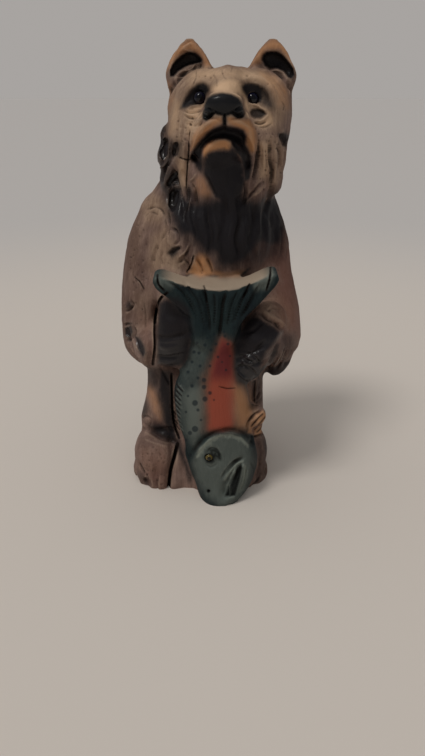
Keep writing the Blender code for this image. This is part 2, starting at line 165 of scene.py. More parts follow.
# The mane and the cheeks' locks.
MANE_GROOVES = (
    (3.6, 4.6, ((166, 114), (163, 124), (163, 135))),
    (4.2, 5.4, ((165, 137), (162, 148), (163, 160))),
    (3.0, 4.2, ((176, 142), (175, 150), (173, 157))),
    (2.6, 3.6, ((168, 141), (166, 152), (161, 166))),
    (1.4, -2.6, ((171, 139), (169.5, 149), (169, 158))),
    (1.4, -2.6, ((168, 160), (164, 165), (159, 169))),
    (2.8, 4.2, ((168, 164), (165, 172), (161, 182))),
    (1.4, -2.8, ((171, 163), (168, 173), (164.5, 183))),
    (3.6, 5.2, ((176, 171), (172, 179), (167, 187))),
    (1.4, -3.0, ((177, 181), (172, 185), (168, 190))),
    (4.6, 6.4, ((175, 190), (174, 198), (171, 208))),
    (2.2, 3.4, ((171, 165), (176, 178), (180, 190), (183, 204))),
    (2.2, 3.0, ((188, 186), (188, 200), (185, 214))),
    (1.3, -2.2, ((197, 173), (194, 178), (190, 181))),
    (2.2, 3.2, ((191, 183), (195, 192), (197, 206))),
    (2.2, 3.0, ((206, 175), (211, 186), (217, 198))),
    (2.6, 4.2, ((257, 141), (258, 152), (256, 168), (252, 185))),
    (2.0, -1.6, ((263, 140), (264, 156), (263, 176))),
    (2.6, 3.8, ((270, 142), (270, 158), (272, 172), (270, 186))),
    (1.8, 2.2, ((277, 146), (280, 156), (278, 168))),
    (2.0, -1.4, ((275, 146), (276, 160), (275, 176))),
    (1.5, 1.6, ((266, 150), (267, 165), (266, 178))),
    (3.8, 6.0, ((281, 134), (284, 140), (286, 147))),
    (2.0, 2.4, ((286, 149), (285, 162), (281, 176))),
    (2.2, 3.2, ((262, 182), (255, 190), (247, 199))),
    (2.6, -2.2, ((266, 183), (259, 191), (252, 196))),
    (2.4, 3.4, ((245, 180), (246, 192), (243, 206))),
    (3.4, 4.0, ((273, 184), (270, 194), (266, 206))),
)

# The chest's long wavy locks and the arm's edges.
CHEST_GROOVES = (
    (2.4, 1.2, ((173, 208), (175, 219), (180, 232), (180, 246))),
    (2.8, 1.4, ((183, 202), (184, 216), (188, 230), (185, 246))),
    (2.2, 1.0, ((190, 204), (192, 218), (196, 232), (193, 248), (189, 260))),
    (3.0, 1.3, ((201, 204), (200, 218), (204, 236), (202, 252))),
    (2.2, 0.9, ((209, 206), (208, 220), (212, 234), (209, 252))),
    (3.0, 1.3, ((218, 196), (216, 212), (221, 230), (217, 248), (221, 264))),
    (2.2, 0.9, ((227, 190), (226, 206), (230, 222), (227, 240), (231, 258))),
    (3.0, 1.3, ((237, 186), (236, 202), (240, 220), (236, 240), (241, 258))),
    (2.2, 0.9, ((246, 206), (245, 222), (249, 240), (246, 256))),
    (2.8, 1.2, ((255, 202), (254, 218), (259, 236), (256, 254))),
    (2.4, 1.1, ((264, 206), (262, 222), (267, 240), (264, 256))),
    (2.6, 1.2, ((272, 206), (271, 222), (276, 238), (273, 254))),
    (3.0, 3.4, ((196, 258), (200, 266), (203, 274))),
    (2.0, 2.4, ((207, 258), (210, 266), (213, 274))),
    (2.2, 2.4, ((188, 250), (184, 258), (178, 264))),
    (1.8, 2.2, ((183, 258), (188, 264), (190, 272))),
    (3.0, 5.0, ((180, 248), (174, 250), (169, 255))),
    (1.6, -2.2, ((190, 243), (185, 252), (178, 258))),
    (2.0, 3.0, ((168, 212), (169, 224), (167, 238))),
    (2.4, 3.0, ((170, 228), (176, 231), (178, 240), (173, 247))),
    (1.6, -1.6, ((167, 232), (168, 240), (170, 246))),
    (1.5, 1.9, ((147, 210), (154, 207), (161, 209), (165, 216))),
    (1.4, 1.4, ((143, 217), (151, 212.5), (159, 215))),
    (1.6, 2.0, ((165, 218), (166, 230), (161, 242))),
    (2.6, 3.4, ((158, 245), (154, 254), (153, 264))),
    (1.8, 1.8, ((163, 250), (161, 258), (163, 266))),
    (2.4, 2.8, ((281, 222), (283, 240), (281, 258))),
    (1.8, 1.8, ((287, 232), (288, 246), (286, 260))),
)

ARM_GROOVES = (
    # Notches down the arm's outer edge and the tuft below the elbow.
    (1.8, 3.0, ((131, 300), (133, 305), (129, 310), (125, 311))),
    (2.0, 3.0, ((132, 323), (127, 324), (124, 325))),
    (2.4, 3.6, ((132, 325), (135, 332), (131, 339), (127, 341))),
    (1.4, -1.8, ((133, 334), (134, 342), (139, 352))),
    (1.6, -1.2, ((130, 343), (134, 352), (140, 359))),
    (1.4, 1.6, ((129, 348), (134, 355), (141, 361))),
    (1.4, 1.4, ((144, 300), (146, 316), (145, 330))),
    # The fingers of the bear's right paw.
    (3.6, 3.4, ((156, 337), (168, 338.5), (188, 334))),
    (3.6, -2.2, ((159, 346), (168, 347.5), (182, 345))),
    (3.0, 3.4, ((156, 356), (168, 357.5), (186, 354))),
    (2.4, -1.6, ((158, 361), (166, 363), (178, 361))),
    # The edge of the bear's left forearm, and its paw's fingers and claws.
    (2.8, 4.2, ((258, 311), (266, 318), (276, 324), (283, 331))),
    (2.2, -1.6, ((262, 309), (270, 315), (279, 320), (287, 328))),
    (1.6, 1.6, ((268, 312), (272, 308), (279, 310))),
    (3.6, -2.8, ((278, 334), (271, 345), (262, 355))),
    (3.4, 2.8, ((268, 336), (262, 346), (252, 352), (240, 351))),
    (2.8, -2.4, ((281, 351), (275, 361), (268, 368))),
    (3.0, 2.0, ((262, 322), (254, 330), (242, 334))),
    (2.4, 3.0, ((262, 366), (254, 357), (246, 355), (238, 358))),
    (2.4, 3.2, ((256, 376), (250, 369), (243, 366), (236, 368))),
    (1.7, -2.0, ((246, 351), (251, 351), (256, 349))),
    (2.0, -3.2, ((242, 361.5), (248, 364.5), (255, 361))),
    (2.0, -3.2, ((237, 371), (241, 375), (247, 379))),
    # The tufts at the bear's left elbow.
    (2.6, 4.2, ((278, 344), (274, 355), (268, 367))),
    (1.8, -2.2, ((282, 350), (278, 359), (273, 368))),
    (2.2, 3.4, ((287, 346), (282, 358), (276, 370))),
    (2.0, 2.8, ((294, 346), (289, 358), (283, 368))),
)

TROUT_GROOVES = (
    # The tail fin's flutes and the ribs between them.
    (2.6, 3.4, ((168, 281), (178, 288), (189, 300), (197, 318))),
    (2.4, 3.4, ((185, 283), (191, 293), (199, 306), (205, 328))),
    (1.9, 3.0, ((203, 289), (206, 299), (209, 318), (210, 336))),
    (1.6, 2.4, ((214, 293), (215, 306), (214, 328))),
    (2.2, 3.2, ((226, 292), (223, 304), (221, 322), (219, 340))),
    (1.8, 2.8, ((238, 291), (232, 304), (227, 326))),
    (2.3, 3.4, ((249, 288), (242, 300), (234, 322))),
    (2.1, 3.0, ((260, 284), (252, 298), (241, 318))),
    (1.6, -1.4, ((175, 284), (185, 293), (195, 310))),
    (1.6, -1.4, ((196, 290), (202, 303), (207, 324))),
    (1.6, -1.4, ((219, 294), (217, 312), (215, 332))),
    (1.6, -1.4, ((232, 293), (227, 306), (223, 328))),
    (1.6, -1.4, ((244, 291), (237, 303), (230, 324))),
    # The gill cover's edge, with its raised rim.
    (1.8, 1.0, ((190, 463), (193, 452), (200, 442), (210, 434), (221, 429.5), (233, 429), (243, 432.5),
                (250, 440), (254, 449))),
    (2.0, -2.4, ((193.5, 462), (197, 453), (203.5, 444.5), (212, 437.5), (222, 433.5), (232, 433),
                 (241, 437), (249, 446))),
    # The cheek, the mouth and the jaws.
    (1.8, 2.0, ((206, 452), (211, 448.5), (217, 450), (221, 457))),
    (1.6, 1.2, ((205, 464), (211, 467), (218, 463))),
    (2.0, 2.6, ((221, 479), (227, 470), (234, 462), (244, 457))),
    (1.7, -2.6, ((224, 480), (229, 472), (236, 464.5), (243, 460.5))),
    (3.0, 8.0, ((240, 465), (236, 474), (231, 484), (227, 496))),
    (1.7, -2.4, ((243, 464), (241, 476), (236, 491))),
    (1.5, 2.6, ((247, 466), (245, 480), (240, 494))),
    (1.8, 3.4, ((208.3, 490.5), (209, 491.5))),
    # The pectoral fin's edges.
    (2.0, 3.4, ((247, 431), (248, 424), (253, 416), (262, 410))),
    (2.0, 3.4, ((249, 437), (258, 435.5), (267, 431))),
)

LEG_GROOVES = (
    (3.2, 3.6, ((139, 427), (150, 431), (162, 438), (178, 442))),
    (2.0, -1.4, ((142, 438), (154, 443), (168, 447))),
    (2.2, 2.6, ((143, 396), (142, 406), (141, 416))),
    (1.8, 2.2, ((140, 420), (145, 416), (151, 420), (149, 428))),
    (1.7, 2.8, ((139, 462), (143, 470), (149, 480))),
    (1.6, 2.2, ((158, 476), (157, 484), (158, 492))),
    (1.6, 1.8, ((161, 368), (166, 378), (171, 386))),
    (2.6, 3.4, ((254, 378), (254, 390), (253, 404))),
    (1.8, 2.2, ((260, 382), (258, 396), (256, 408))),
    (2.2, 2.6, ((258, 440), (261, 452), (258, 466))),
    (1.8, 2.4, ((262, 470), (258, 480), (252, 486))),
    (2.0, 2.0, ((250, 462), (254, 470), (253, 480))),
)

# Where the strokes of the fin along the trout's back begin: how far each is bent to the right, and its v.
FIN_STROKES = (
    (3.2, 384), (1.9, 388.5), (1.0, 393), (0.5, 397.5), (0.2, 402), (0.1, 406.5), (0.3, 411), (0.8, 415.5),
    (1.6, 420), (2.6, 424.5),
)

# Slits, kept sharp by drawing the points beside them onto their line: half width in view units, depth in mm,
# how black the painted shade inside it is, and path.
SLITS = (
    # The cheek's seasoning crack and the one across it, and the fine checks in the crown.
    (0.8, 3.6, 0.75, ((190.3, 130), (189, 141), (188.8, 152), (187.6, 165), (187, 176), (186.3, 188))),
    (0.9, 2.4, 0.8, ((180, 157.5), (184, 159), (190, 159.7))),
    (0.7, 0.9, 0.4, ((196.5, 72), (196, 78), (193.5, 84))),
    (0.7, 0.6, 0.25, ((214, 75), (216.5, 80), (217, 86))),
    (0.7, 0.6, 0.25, ((222, 70), (223, 75), (225.5, 79))),
    (0.7, 0.6, 0.25, ((232, 68), (231, 72))),
    (0.7, 0.8, 0.35, ((282, 102), (284, 106), (283, 110))),
    # The cracks of the chest, between the arm and the paw, and a short cut in the arm.
    (1.0, 3.5, 0.85, ((193.5, 256), (191.5, 264), (187, 272))),
    (1.5, 9.0, 1.0, ((167, 293), (162, 297), (158, 304), (155.5, 316), (154.8, 330), (155, 345), (154, 356),
                     (153, 364))),
    (0.8, 1.6, 0.7, ((135, 277.5), (140, 282), (144, 289))),
    # The tail fin's two tips.
    (1.2, 3.0, 0.85, ((157.5, 275), (158.5, 284), (164, 290.5))),
    (1.2, 3.4, 0.9, ((270.5, 267.5), (269.8, 278), (266.5, 290))),
    (1.0, 2.4, 0.8, ((249.5, 284), (247, 289), (243, 297))),
    (0.9, 2.0, 0.7, ((204, 286), (205.5, 292), (207, 302))),
    # The strokes of the fin along the trout's back, the cut over its red band and the pectoral fin's rays.
    *((0.8, 1.8, 0.85, ((bend + 173.8, v), (bend + 176.2, v + 4), (bend + 179.6, v + 7)))
      for bend, v in FIN_STROKES),
    (0.8, 1.5, 0.4, ((219, 386.5), (227, 388.5), (235, 388))),
    (0.9, 2.0, 0.8, ((251.5, 426), (256, 420.5), (262.5, 414))),
    (0.9, 2.0, 0.8, ((254.5, 429.5), (260, 423), (265.5, 416.5))),
    (0.9, 2.0, 0.8, ((257, 432), (262, 427), (267, 421))),
    # The leg against the trout, the foot's deep crack and the chips of the other foot.
    (1.3, 7.0, 1.0, ((171.5, 374), (171.8, 390), (172.5, 410), (174.5, 424), (179, 438))),
    (1.9, 10.0, 1.0, ((177.5, 444), (174.5, 456), (171, 468), (169.5, 478), (168.5, 490))),
    (1.1, 3.0, 0.9, ((266, 424), (267, 438), (269, 452), (268, 462))),
    (0.8, 1.6, 0.6, ((255, 380), (254, 392), (254.5, 402))),
)

# What is sunk straight back inside an outline: how soft its wall is in view units, its depth in mm, the
# outline. This share of the softness spills outside it.
PRESSED_SPILL = 0.3
PRESSED = (
    # The ears' bowls.
    (2.2, 9.0, ((170.5, 76), (170, 71), (172.5, 65), (176.5, 60), (181, 55.8), (186, 53), (191, 52.3),
                (195.5, 53.5), (199, 56.5), (201.5, 59.5), (201, 62.3), (196, 63.5), (190, 64.8),
                (184, 67.5), (178.5, 71.5), (174, 76.5))),
    (2.6, 9.0, ((262, 60), (263, 55.5), (266, 52.5), (271, 51.5), (277, 51.8), (282, 54.5), (286, 59),
                (290, 64), (293.5, 69), (294, 75), (291, 79), (287, 77), (283, 71.5), (277, 69), (270, 68),
                (265, 65))),
    # The eye sockets, and the oval hollow under the bear's left eye.
    (4.0, 3.2, ((181, 107), (186, 98), (192, 89), (199, 83.5), (206, 85), (210, 91), (206, 99),
                (202, 103.5), (192, 104), (186, 108))),
    (4.0, 3.2, ((242, 87), (249, 83), (258, 84), (266, 89), (271, 98), (272, 108), (264, 105), (257, 102.5),
                (249, 101), (244, 94))),
    (2.2, 2.6, ((249.5, 112), (252, 109), (258, 108.5), (264, 110.5), (266.5, 114), (262, 117.5),
                (255, 118), (250.5, 115.5))),
    # The trout's mouth, then the bear's.
    (2.2, 5.0, ((241, 465), (243, 468), (240, 482), (235.5, 496), (229, 497), (231.5, 485), (236, 474))),
    (2.6, 5.0, ((190.5, 157), (193, 150), (199, 143.5), (204, 138), (209, 132), (214, 129), (219, 127),
                (224, 126.5), (231, 128), (238, 129), (243, 131.5), (245, 137), (245, 144), (248, 151),
                (250.5, 158), (250, 168), (246, 170), (243, 160), (238, 151), (232, 145), (230, 140.5),
                (225, 139), (218, 139.2), (212, 141), (206, 144), (202, 149), (201, 158), (198, 162),
                (193, 160))),
    # The leaf hollows of the mane, the cheek and the arm.
    (2.0, 3.0, ((158, 150), (161, 141), (165, 137), (168, 144), (167, 154), (162, 161))),
    (1.8, 3.0, ((171.5, 144), (177, 142), (180, 148), (178, 156), (172, 156))),
    (2.0, 3.4, ((168, 186), (172, 177), (178, 172), (180, 182), (175, 186))),
    (2.4, 4.4, ((168.5, 205), (169, 193), (174, 187), (180, 189), (181, 200), (177, 211), (172, 212))),
    (1.8, 3.0, ((278.5, 134), (284, 132.5), (289, 135), (289.5, 142), (286, 147), (281.5, 142))),
    (1.8, 4.0, ((134.5, 336), (139, 337), (144, 345), (145.5, 353), (143, 357), (138, 349))),
    (1.8, 2.6, ((125, 328), (131, 325), (133, 332), (130, 338), (125.5, 335))),
)

# Dents of worn wood: their least and greatest radius in view units, how deep and how far to the right and
# down each one goes as shares of that radius, then how many are tried inside each outline.
PIT_SEED = 11
PIT_SIZES = (0.7, 1.5)
PIT_DEPTH = 0.75
PIT_LEAN = (0.5, 1.3)
PITTED = (
    (90, ((258, 132), (276, 134), (286, 150), (284, 182), (262, 190), (256, 160))),
    (50, ((176, 120), (200, 116), (196, 134), (189, 150), (176, 140))),
    (40, ((190, 74), (214, 70), (262, 74), (280, 92), (264, 82), (228, 76), (200, 80))),
    (60, ((140, 446), (166, 446), (168, 486), (142, 480))),
    (60, ((128, 230), (150, 210), (152, 330), (132, 330))),
)

# What is rubbed smooth, by this share each time: how often, how soft the edge is, the outline.
RUB_STRENGTH = 0.8
RUBBED_EARS = (
    (25, 3.0, ((192, 42), (200, 46), (211, 64), (204, 66), (203, 58), (194, 50))),
    (25, 3.0, ((258, 66), (262, 52), (272, 42), (278, 42), (264, 52), (262, 64))),
)
RUBBED_PAWS = (
    (90, 4.0, ((158, 302), (166, 297), (178, 298), (189, 308), (193, 330), (190, 352), (184, 364),
               (168, 367), (157, 362))),
    (70, 4.0, ((256, 314), (266, 321), (281, 330), (280, 344), (272, 358), (262, 358), (250, 356),
               (237, 352), (236, 340), (246, 324))),
)

# Chips out of the edges: u and v of the middle, then in mm its y, the radius, and which way and how far it is
# pushed. The greater the roundness, the less a chip's sides are pushed.
CHIP_ROUNDNESS = 0.8
CHIPS = (
    (123.5, 311, -30, 6, (4.5, 0, 0)),
    (124, 324, -30, 6, (5.5, 0, 0)),
    (127, 339.5, -34, 7, (8.0, 0, 1)),
    (148, 482, -86, 10, (2.0, 7.0, 0)),
    (138, 478, -66, 12, (5.0, 5.0, 0)),
    (268, 472, -60, 9, (-3.5, 3.0, 0)),
    (252, 486, -80, 9, (0, 5.0, 0)),
    (180, 490, -84, 8, (0, 3.5, 0)),
    (229, 505, -134, 5, (0, 3.0, 0)),
    (162, 137, -22, 5, (4.0, 0, 0)),
    (158, 166, -26, 5, (4.0, 0, 0)),
    (289, 146, -10, 7, (-3.0, 0, 0)),
)

# Painted places: how soft the edge is in view units, how strong the paint is, and an outline of u and v.
# Black paint, which in the ears' bowls, the eye sockets, the mouth, the hollows and under the chin is also
# painted shade.
HEAD_SOOT_AND_SHADE = (
    # The ears' bowls, the eye sockets and the hollow under the bear's left eye.
    (1.6, 1.0, ((169.8, 77), (169.3, 71), (172, 64.5), (176, 59.5), (181, 55), (186, 52), (191, 51.3),
                (196, 52.6), (200.3, 56.3), (203, 60), (202.3, 63), (196, 64), (190, 65.3), (184, 68),
                (178.5, 72), (173.5, 77))),
    (1.6, 1.0, ((261.5, 60), (262.5, 55), (266, 52), (271, 51), (277, 51.3), (282, 54), (286.5, 58.5),
                (290.5, 63.5), (294, 69), (295, 75), (292, 79), (288, 78), (284.5, 72), (278, 69.5),
                (270, 68.2), (265, 66))),
    (2.6, 1.0, ((180, 109), (182, 103), (186, 96), (191, 89), (197, 84), (203, 82.5), (208, 85),
                (210.5, 91), (207, 98), (204, 102.5), (198, 105), (191, 106), (185, 109))),
    (2.4, 1.0, ((241, 86), (245, 83), (252, 82.5), (259, 84), (263, 89), (264, 97), (262, 103.5),
                (255, 102.5), (249, 101.5), (246, 96), (242, 91))),
    (5.0, 0.9, ((256, 84), (265, 86), (270, 92), (273, 100), (274, 109), (268, 108.5), (262, 104.5),
                (258, 96))),
    (1.6, 0.9, ((249.3, 112), (252, 109), (258, 108.3), (264, 110.3), (267, 114), (262, 118), (255, 118.5),
                (250.3, 116))),
    # The mouth and the chin from below: black paint, with painted shade inside the mouth and under the chin.
    (2.2, 1.0, ((189.5, 158), (192, 151), (198, 143.5), (203, 138), (208, 132), (213, 128.5), (218, 126),
                (224, 125), (231, 126.5), (238, 127.5), (244, 130), (246.5, 136), (245.5, 144), (249, 150),
                (252, 157), (252, 168), (250, 180), (244, 182), (243, 168), (240, 158), (235, 152),
                (231.5, 146), (230.5, 141), (225, 138.8), (218, 139), (212, 140.8), (206, 144),
                (202.5, 148.5), (202, 156), (203, 166), (202, 174), (198, 170), (193, 162))),
    (3.5, 1.0, ((203, 158), (207, 153), (214, 150.5), (222, 149.5), (229, 150.5), (232, 147), (238, 152),
                (243, 162), (246, 180), (243, 196), (228, 206), (214, 198), (208, 184), (203, 174))),
)
BODY_SOOT_AND_SHADE = (
    # The throat and the chest.
    (9.0, 1.0, ((163, 194), (172, 184), (182, 192), (190, 197), (197, 201), (208, 199), (217, 196),
                (226, 186), (242, 184), (247, 197), (257, 199), (266, 195), (277, 190), (284, 208),
                (288, 228), (284, 246), (272, 250), (262, 246), (250, 262), (232, 271), (219, 267),
                (213, 256), (204, 258), (197, 248), (188, 238), (180, 238), (174, 228), (168, 214))),
    (12.0, 0.78, ((176, 236), (190, 246), (200, 252), (214, 262), (226, 274), (246, 268), (266, 264),
                  (284, 256), (290, 236), (284, 216), (230, 210), (180, 214))),
    # The mane, its leaf hollows, and the cheek's and the chest's own hollows, where the black is painted
    # shade as well as paint.
    (4.0, 0.8, ((158, 117), (166, 112), (168, 124), (166, 137), (174, 140), (182, 143), (181, 156),
                (172, 159), (171, 168), (177, 172), (183, 190), (184, 204), (180, 213), (170, 214),
                (164, 194), (157, 182), (155, 150))),
    (2.4, 0.95, ((160.5, 117), (166, 112), (167, 122), (164, 134), (160, 134))),
    (2.4, 0.97, ((158, 140), (164, 136), (170, 144), (168, 156), (163, 163), (157, 156))),
    (2.2, 0.97, ((171, 144), (177, 141.5), (180.5, 149), (178, 157), (171.5, 156))),
    (2.4, 0.9, ((158, 170), (166, 164), (168, 176), (162, 186), (157, 182))),
    (2.4, 0.97, ((166, 188), (171, 176), (178, 170), (180.5, 181), (176, 186), (170, 190))),
    (2.4, 1.0, ((167, 206), (168, 194), (174, 186.5), (181, 188), (182, 200), (178, 212), (171, 214))),
    (3.5, 0.8, ((184, 188), (191, 186), (196, 196), (196, 210), (186, 212))),
    (1.8, 0.9, ((278, 134), (284, 132), (290, 134.5), (290, 143), (286, 148.5), (281, 142))),
    (2.2, 0.9, ((167, 253), (172, 247), (181, 246.5), (178, 253), (172, 259))),
    # The paws, and the notches and tufts of the arms.
    (4.0, 0.99, ((158, 303), (166, 297), (178, 298), (189, 308), (193, 330), (191, 352), (186, 366),
                 (170, 369), (157, 364), (156, 330))),
    (4.0, 0.99, ((255, 312), (264, 320), (274, 325), (282, 332), (277, 342), (268, 352), (262, 366),
                 (263, 378), (250, 385), (238, 382), (233, 368), (234, 340), (244, 322))),
    (3.0, 0.85, ((276, 342), (281, 343), (278, 354), (272, 366), (267, 368), (270, 354))),
    (2.0, 0.95, ((134.5, 335.5), (140, 338), (145, 347), (146, 354), (143, 358), (138, 350))),
    (2.0, 0.9, ((124.5, 328), (131, 324.5), (134, 332), (130, 339), (125, 336))),
    (2.5, 0.7, ((127, 302), (131, 301), (133, 306), (128, 311), (125, 308))),
    (6.0, 0.6, ((280, 336), (294, 334), (298, 348), (288, 364), (272, 378), (266, 372), (276, 356))),
    (4.0, 0.9, ((262, 364), (276, 362), (292, 358), (297, 366), (286, 380), (262, 382), (252, 380))),
    # The legs beside the trout, the ankles and the feet.
    (5.0, 0.97, ((158, 366), (172, 372), (174, 400), (177, 440), (168, 442), (163, 424), (157, 392))),
    (5.0, 0.75, ((145, 366), (162, 366), (163, 384), (155, 390), (145, 386))),
    (4.0, 0.75, ((140, 400), (146, 400), (150, 412), (144, 419), (139, 413))),
    (6.0, 0.98, ((148, 423), (164, 422), (178, 434), (178, 443), (164, 441), (152, 434))),
    (5.0, 0.7, ((251, 380), (263, 378), (264, 398), (257, 412), (250, 408))),
    (6.0, 0.4, ((252, 440), (274, 438), (274, 486), (250, 486))),
    (4.0, 0.8, ((263, 424), (270, 424), (271, 452), (266, 462), (263, 446))),
    (3.0, 0.9, ((178, 434), (184, 452), (192, 476), (190, 486), (184, 466), (174, 444))),
    (3.5, 0.6, ((138, 470), (148, 478), (151, 486), (142, 486), (136, 478))),
)

ORANGE_TAN = (
    # The ears' rims and the brow.
    (4.0, 0.7, ((163, 74), (168, 58), (180, 44), (192, 38), (202, 48), (214, 66), (205, 66), (201, 56),
                (190, 50), (178, 57), (169, 68))),
    (4.0, 0.75, ((246, 68), (254, 56), (264, 44), (274, 38), (288, 46), (296, 58), (297, 70), (288, 59),
                 (280, 50), (266, 50), (260, 62))),
    (5.0, 0.45, ((164, 80), (170, 84), (172, 100), (168, 110), (165, 100))),
    (7.0, 0.5, ((262, 74), (276, 78), (286, 90), (288, 108), (280, 104), (272, 90))),
    # The lips, the chin's tip and a lock of the throat.
    (3.5, 0.9, ((191, 150), (194, 136), (202, 126), (212, 119), (220, 117), (222, 122), (214, 126.5),
                (205, 134), (198, 142))),
    (3.5, 0.95, ((228, 118), (240, 119), (250, 121), (255, 130), (256.5, 142), (255, 152), (250, 152),
                 (246.5, 144), (247.5, 134), (243, 129), (236, 126), (229, 123))),
    (1.8, 1.0, ((202.5, 153), (203.5, 148), (207, 144), (212, 141), (219, 139.5), (226, 139.7),
                (231, 142.5), (231.5, 147.5), (227, 150), (221, 149.3), (214, 150.5), (208, 153),
                (204.5, 158))),
    (6.0, 0.4, ((196, 180), (201, 176), (205, 178), (209, 186), (212, 194), (207, 197), (199, 195),
                (195, 188))),
    # The chest over the tail fin, the leg, the belly and the pectoral fin.
    (4.0, 1.0, ((188, 273), (193, 263), (199, 254), (205, 254), (211, 264), (214, 275), (200, 278))),
    (3.0, 0.7, ((212, 270), (222, 273), (244, 271), (240, 278), (218, 279))),
    (4.5, 0.45, ((146, 386), (151, 384), (157, 396), (164, 414), (160, 421), (153, 410))),
    (8.0, 0.85, ((233, 384), (244, 386), (252, 398), (255, 414), (248, 430), (237, 428), (233, 410))),
    (2.0, 0.75, ((247, 433), (249, 421), (255, 414), (263, 410.5), (267.5, 415), (268, 428), (258, 436))),
)

PALE_WOOD = (
    # The bridge, what lies under the eyes, the cheeks and the brow.
    (4.0, 1.0, ((210, 91), (214, 86), (220, 81), (229, 79), (238, 80), (243, 86), (244, 95), (240, 97.5),
                (235, 95), (228, 93), (220, 92.3), (213, 93.5))),
    (2.0, 0.8, ((242, 90), (246, 96), (249, 106), (250, 118), (247, 117), (245, 106))),
    (3.0, 0.75, ((188, 109), (196, 105), (204, 104), (203, 112), (201, 119), (192, 120), (185, 116))),
    (3.0, 0.75, ((248, 103), (256, 104), (265, 109), (272, 116), (273, 124), (262, 128), (254, 124),
                 (262, 120), (268, 114), (263, 108), (255, 106.5), (249, 107))),
    (4.0, 0.6, ((187, 122), (200, 120), (204, 126), (196, 134), (191, 142), (187, 136))),
    (7.0, 0.6, ((190, 72), (208, 68), (240, 69), (262, 72), (276, 82), (270, 86), (250, 80), (224, 78),
                (202, 80), (190, 86))),
    (5.0, 0.5, ((169, 112), (176, 100), (180, 106), (178, 128), (170, 134))),
    (4.0, 0.5, ((178, 160), (186, 160), (186, 188), (180, 184))),
    (4.0, 0.5, ((259, 142), (268, 144), (268, 176), (260, 178))),
)

# Where the wood is paler, partly its own tone and partly painted light on what faces the light from above:
# the face's dome, the cheeks' locks, the left forearm, the right arm and the right foot.
PALER_AND_LIT = (
    (7.0, 0.95, ((171, 104), (176, 88), (184, 76), (196, 69), (230, 67), (264, 70), (278, 80), (285, 94),
                 (286, 112), (278, 130), (262, 133), (256, 126), (246, 117), (202, 119), (190, 134),
                 (174, 136))),
    (5.0, 0.8, ((168, 112), (178, 112), (186, 124), (187, 188), (179, 186), (176, 160), (166, 134))),
    (5.0, 0.55, ((259, 132), (276, 134), (286, 150), (284, 178), (270, 188), (260, 178))),
    (5.0, 0.5, ((262, 296), (280, 292), (292, 310), (290, 330), (276, 324), (262, 312))),
    (7.0, 0.3, ((128, 214), (144, 200), (150, 210), (140, 250), (130, 290))),
    (7.0, 0.95, ((140, 204), (152, 192), (164, 200), (168, 216), (158, 224), (144, 222))),
    (8.0, 0.35, ((134, 290), (152, 290), (152, 330), (136, 334))),
    (7.0, 0.9, ((152, 236), (166, 224), (175, 250), (187, 262), (178, 276), (158, 288), (148, 264))),
    (6.0, 0.25, ((142, 448), (164, 446), (168, 462), (156, 472), (142, 468))),
)
# Where the stain is redder and darker: the left arm, where it is also painted shade on the side away from the
# light, the chest, the right foot and the right elbow, and small patches.
REDDER_STAIN_AND_SHADE = (
    # Painted shade on the left arm's side away from the light, in the redder tone.
    (12.0, 0.9, ((262, 236), (290, 232), (300, 280), (300, 334), (284, 330), (274, 300), (262, 288))),
    (8.0, 0.5, ((243, 240), (262, 238), (272, 246), (268, 264), (250, 268), (240, 258))),
    (8.0, 0.45, ((140, 450), (164, 448), (172, 462), (168, 488), (152, 488), (140, 470))),
    (8.0, 0.45, ((140, 316), (152, 320), (152, 352), (144, 346))),
    (8.0, 0.3, ((276, 330), (298, 330), (296, 356), (278, 372))),
    (7.0, 0.5, ((150, 420), (164, 422), (164, 440), (152, 436))),
    (5.0, 0.5, ((252, 384), (262, 384), (262, 402), (254, 404))),
    (5.0, 0.5, ((184, 192), (194, 190), (196, 208), (186, 210))),
    (5.0, 0.45, ((238, 152), (243, 158), (241, 166), (234, 162))),
    (5.0, 0.35, ((268, 184), (256, 186), (248, 196), (262, 200))),
)

# The trout's outline in mm across and up, because its sides are painted too.
TROUT_OUTLINE = (
    (30, -6), (4, -2), (-13, 30), (-23, 61), (-31, 97), (-39, 131), (-42, 165), (-42, 192), (-32, 208),
    (-17, 232), (-11, 262), (-15, 292), (-30, 314), (-48, 330), (-64, 343), (-68, 354), (-60, 372),
    (20, 348), (62, 352), (84, 366), (104, 380), (112, 362), (106, 344), (84, 320), (68, 304), (56, 290),
    (52, 262), (54, 232), (62, 208), (70, 190), (74, 160), (80, 130), (84, 100), (86, 60), (82, 20),
    (60, -4),
)
# Its paint fades out between these distances inside the outline, negative for outside, and at this y, by
# this much each way.
TROUT_EDGE = (-4.5, -1.5)
TROUT_BACK = -84
TROUT_SOFTNESS = 3
# The tail fin's top is lowest at this x in mm, and rises by this much per mm squared to both sides. Its cream
# begins between these heights and slopes, and fades out towards the tips.
TAIL_MIDDLE = 18
TAIL_CURVE = 0.0042
TAIL_TOP_HEIGHT = (334, 341)
TAIL_TOP_SLOPE = (0.34, 0.7)
TAIL_TIPS = ((-56, -32), (78, 100))
# The red band, its darker part between the paws, and where it fades into the belly and the sides.
RED_BAND = (
    (4.5, 1.0, ((222, 340), (230, 344), (233, 356), (232.5, 376), (236, 390), (236, 408), (233, 426),
                (222, 430), (209, 429), (208, 404), (209, 384), (213, 364), (218, 350))),
)
DEEP_RED = (
    (8.0, 1.0, ((222, 336), (234, 340), (236, 378), (208, 380), (212, 356))),
)
RED_FADE = (
    (9.0, 0.9, ((204, 378), (222, 338), (236, 346), (238, 380), (242, 400), (238, 428), (204, 430))),
)
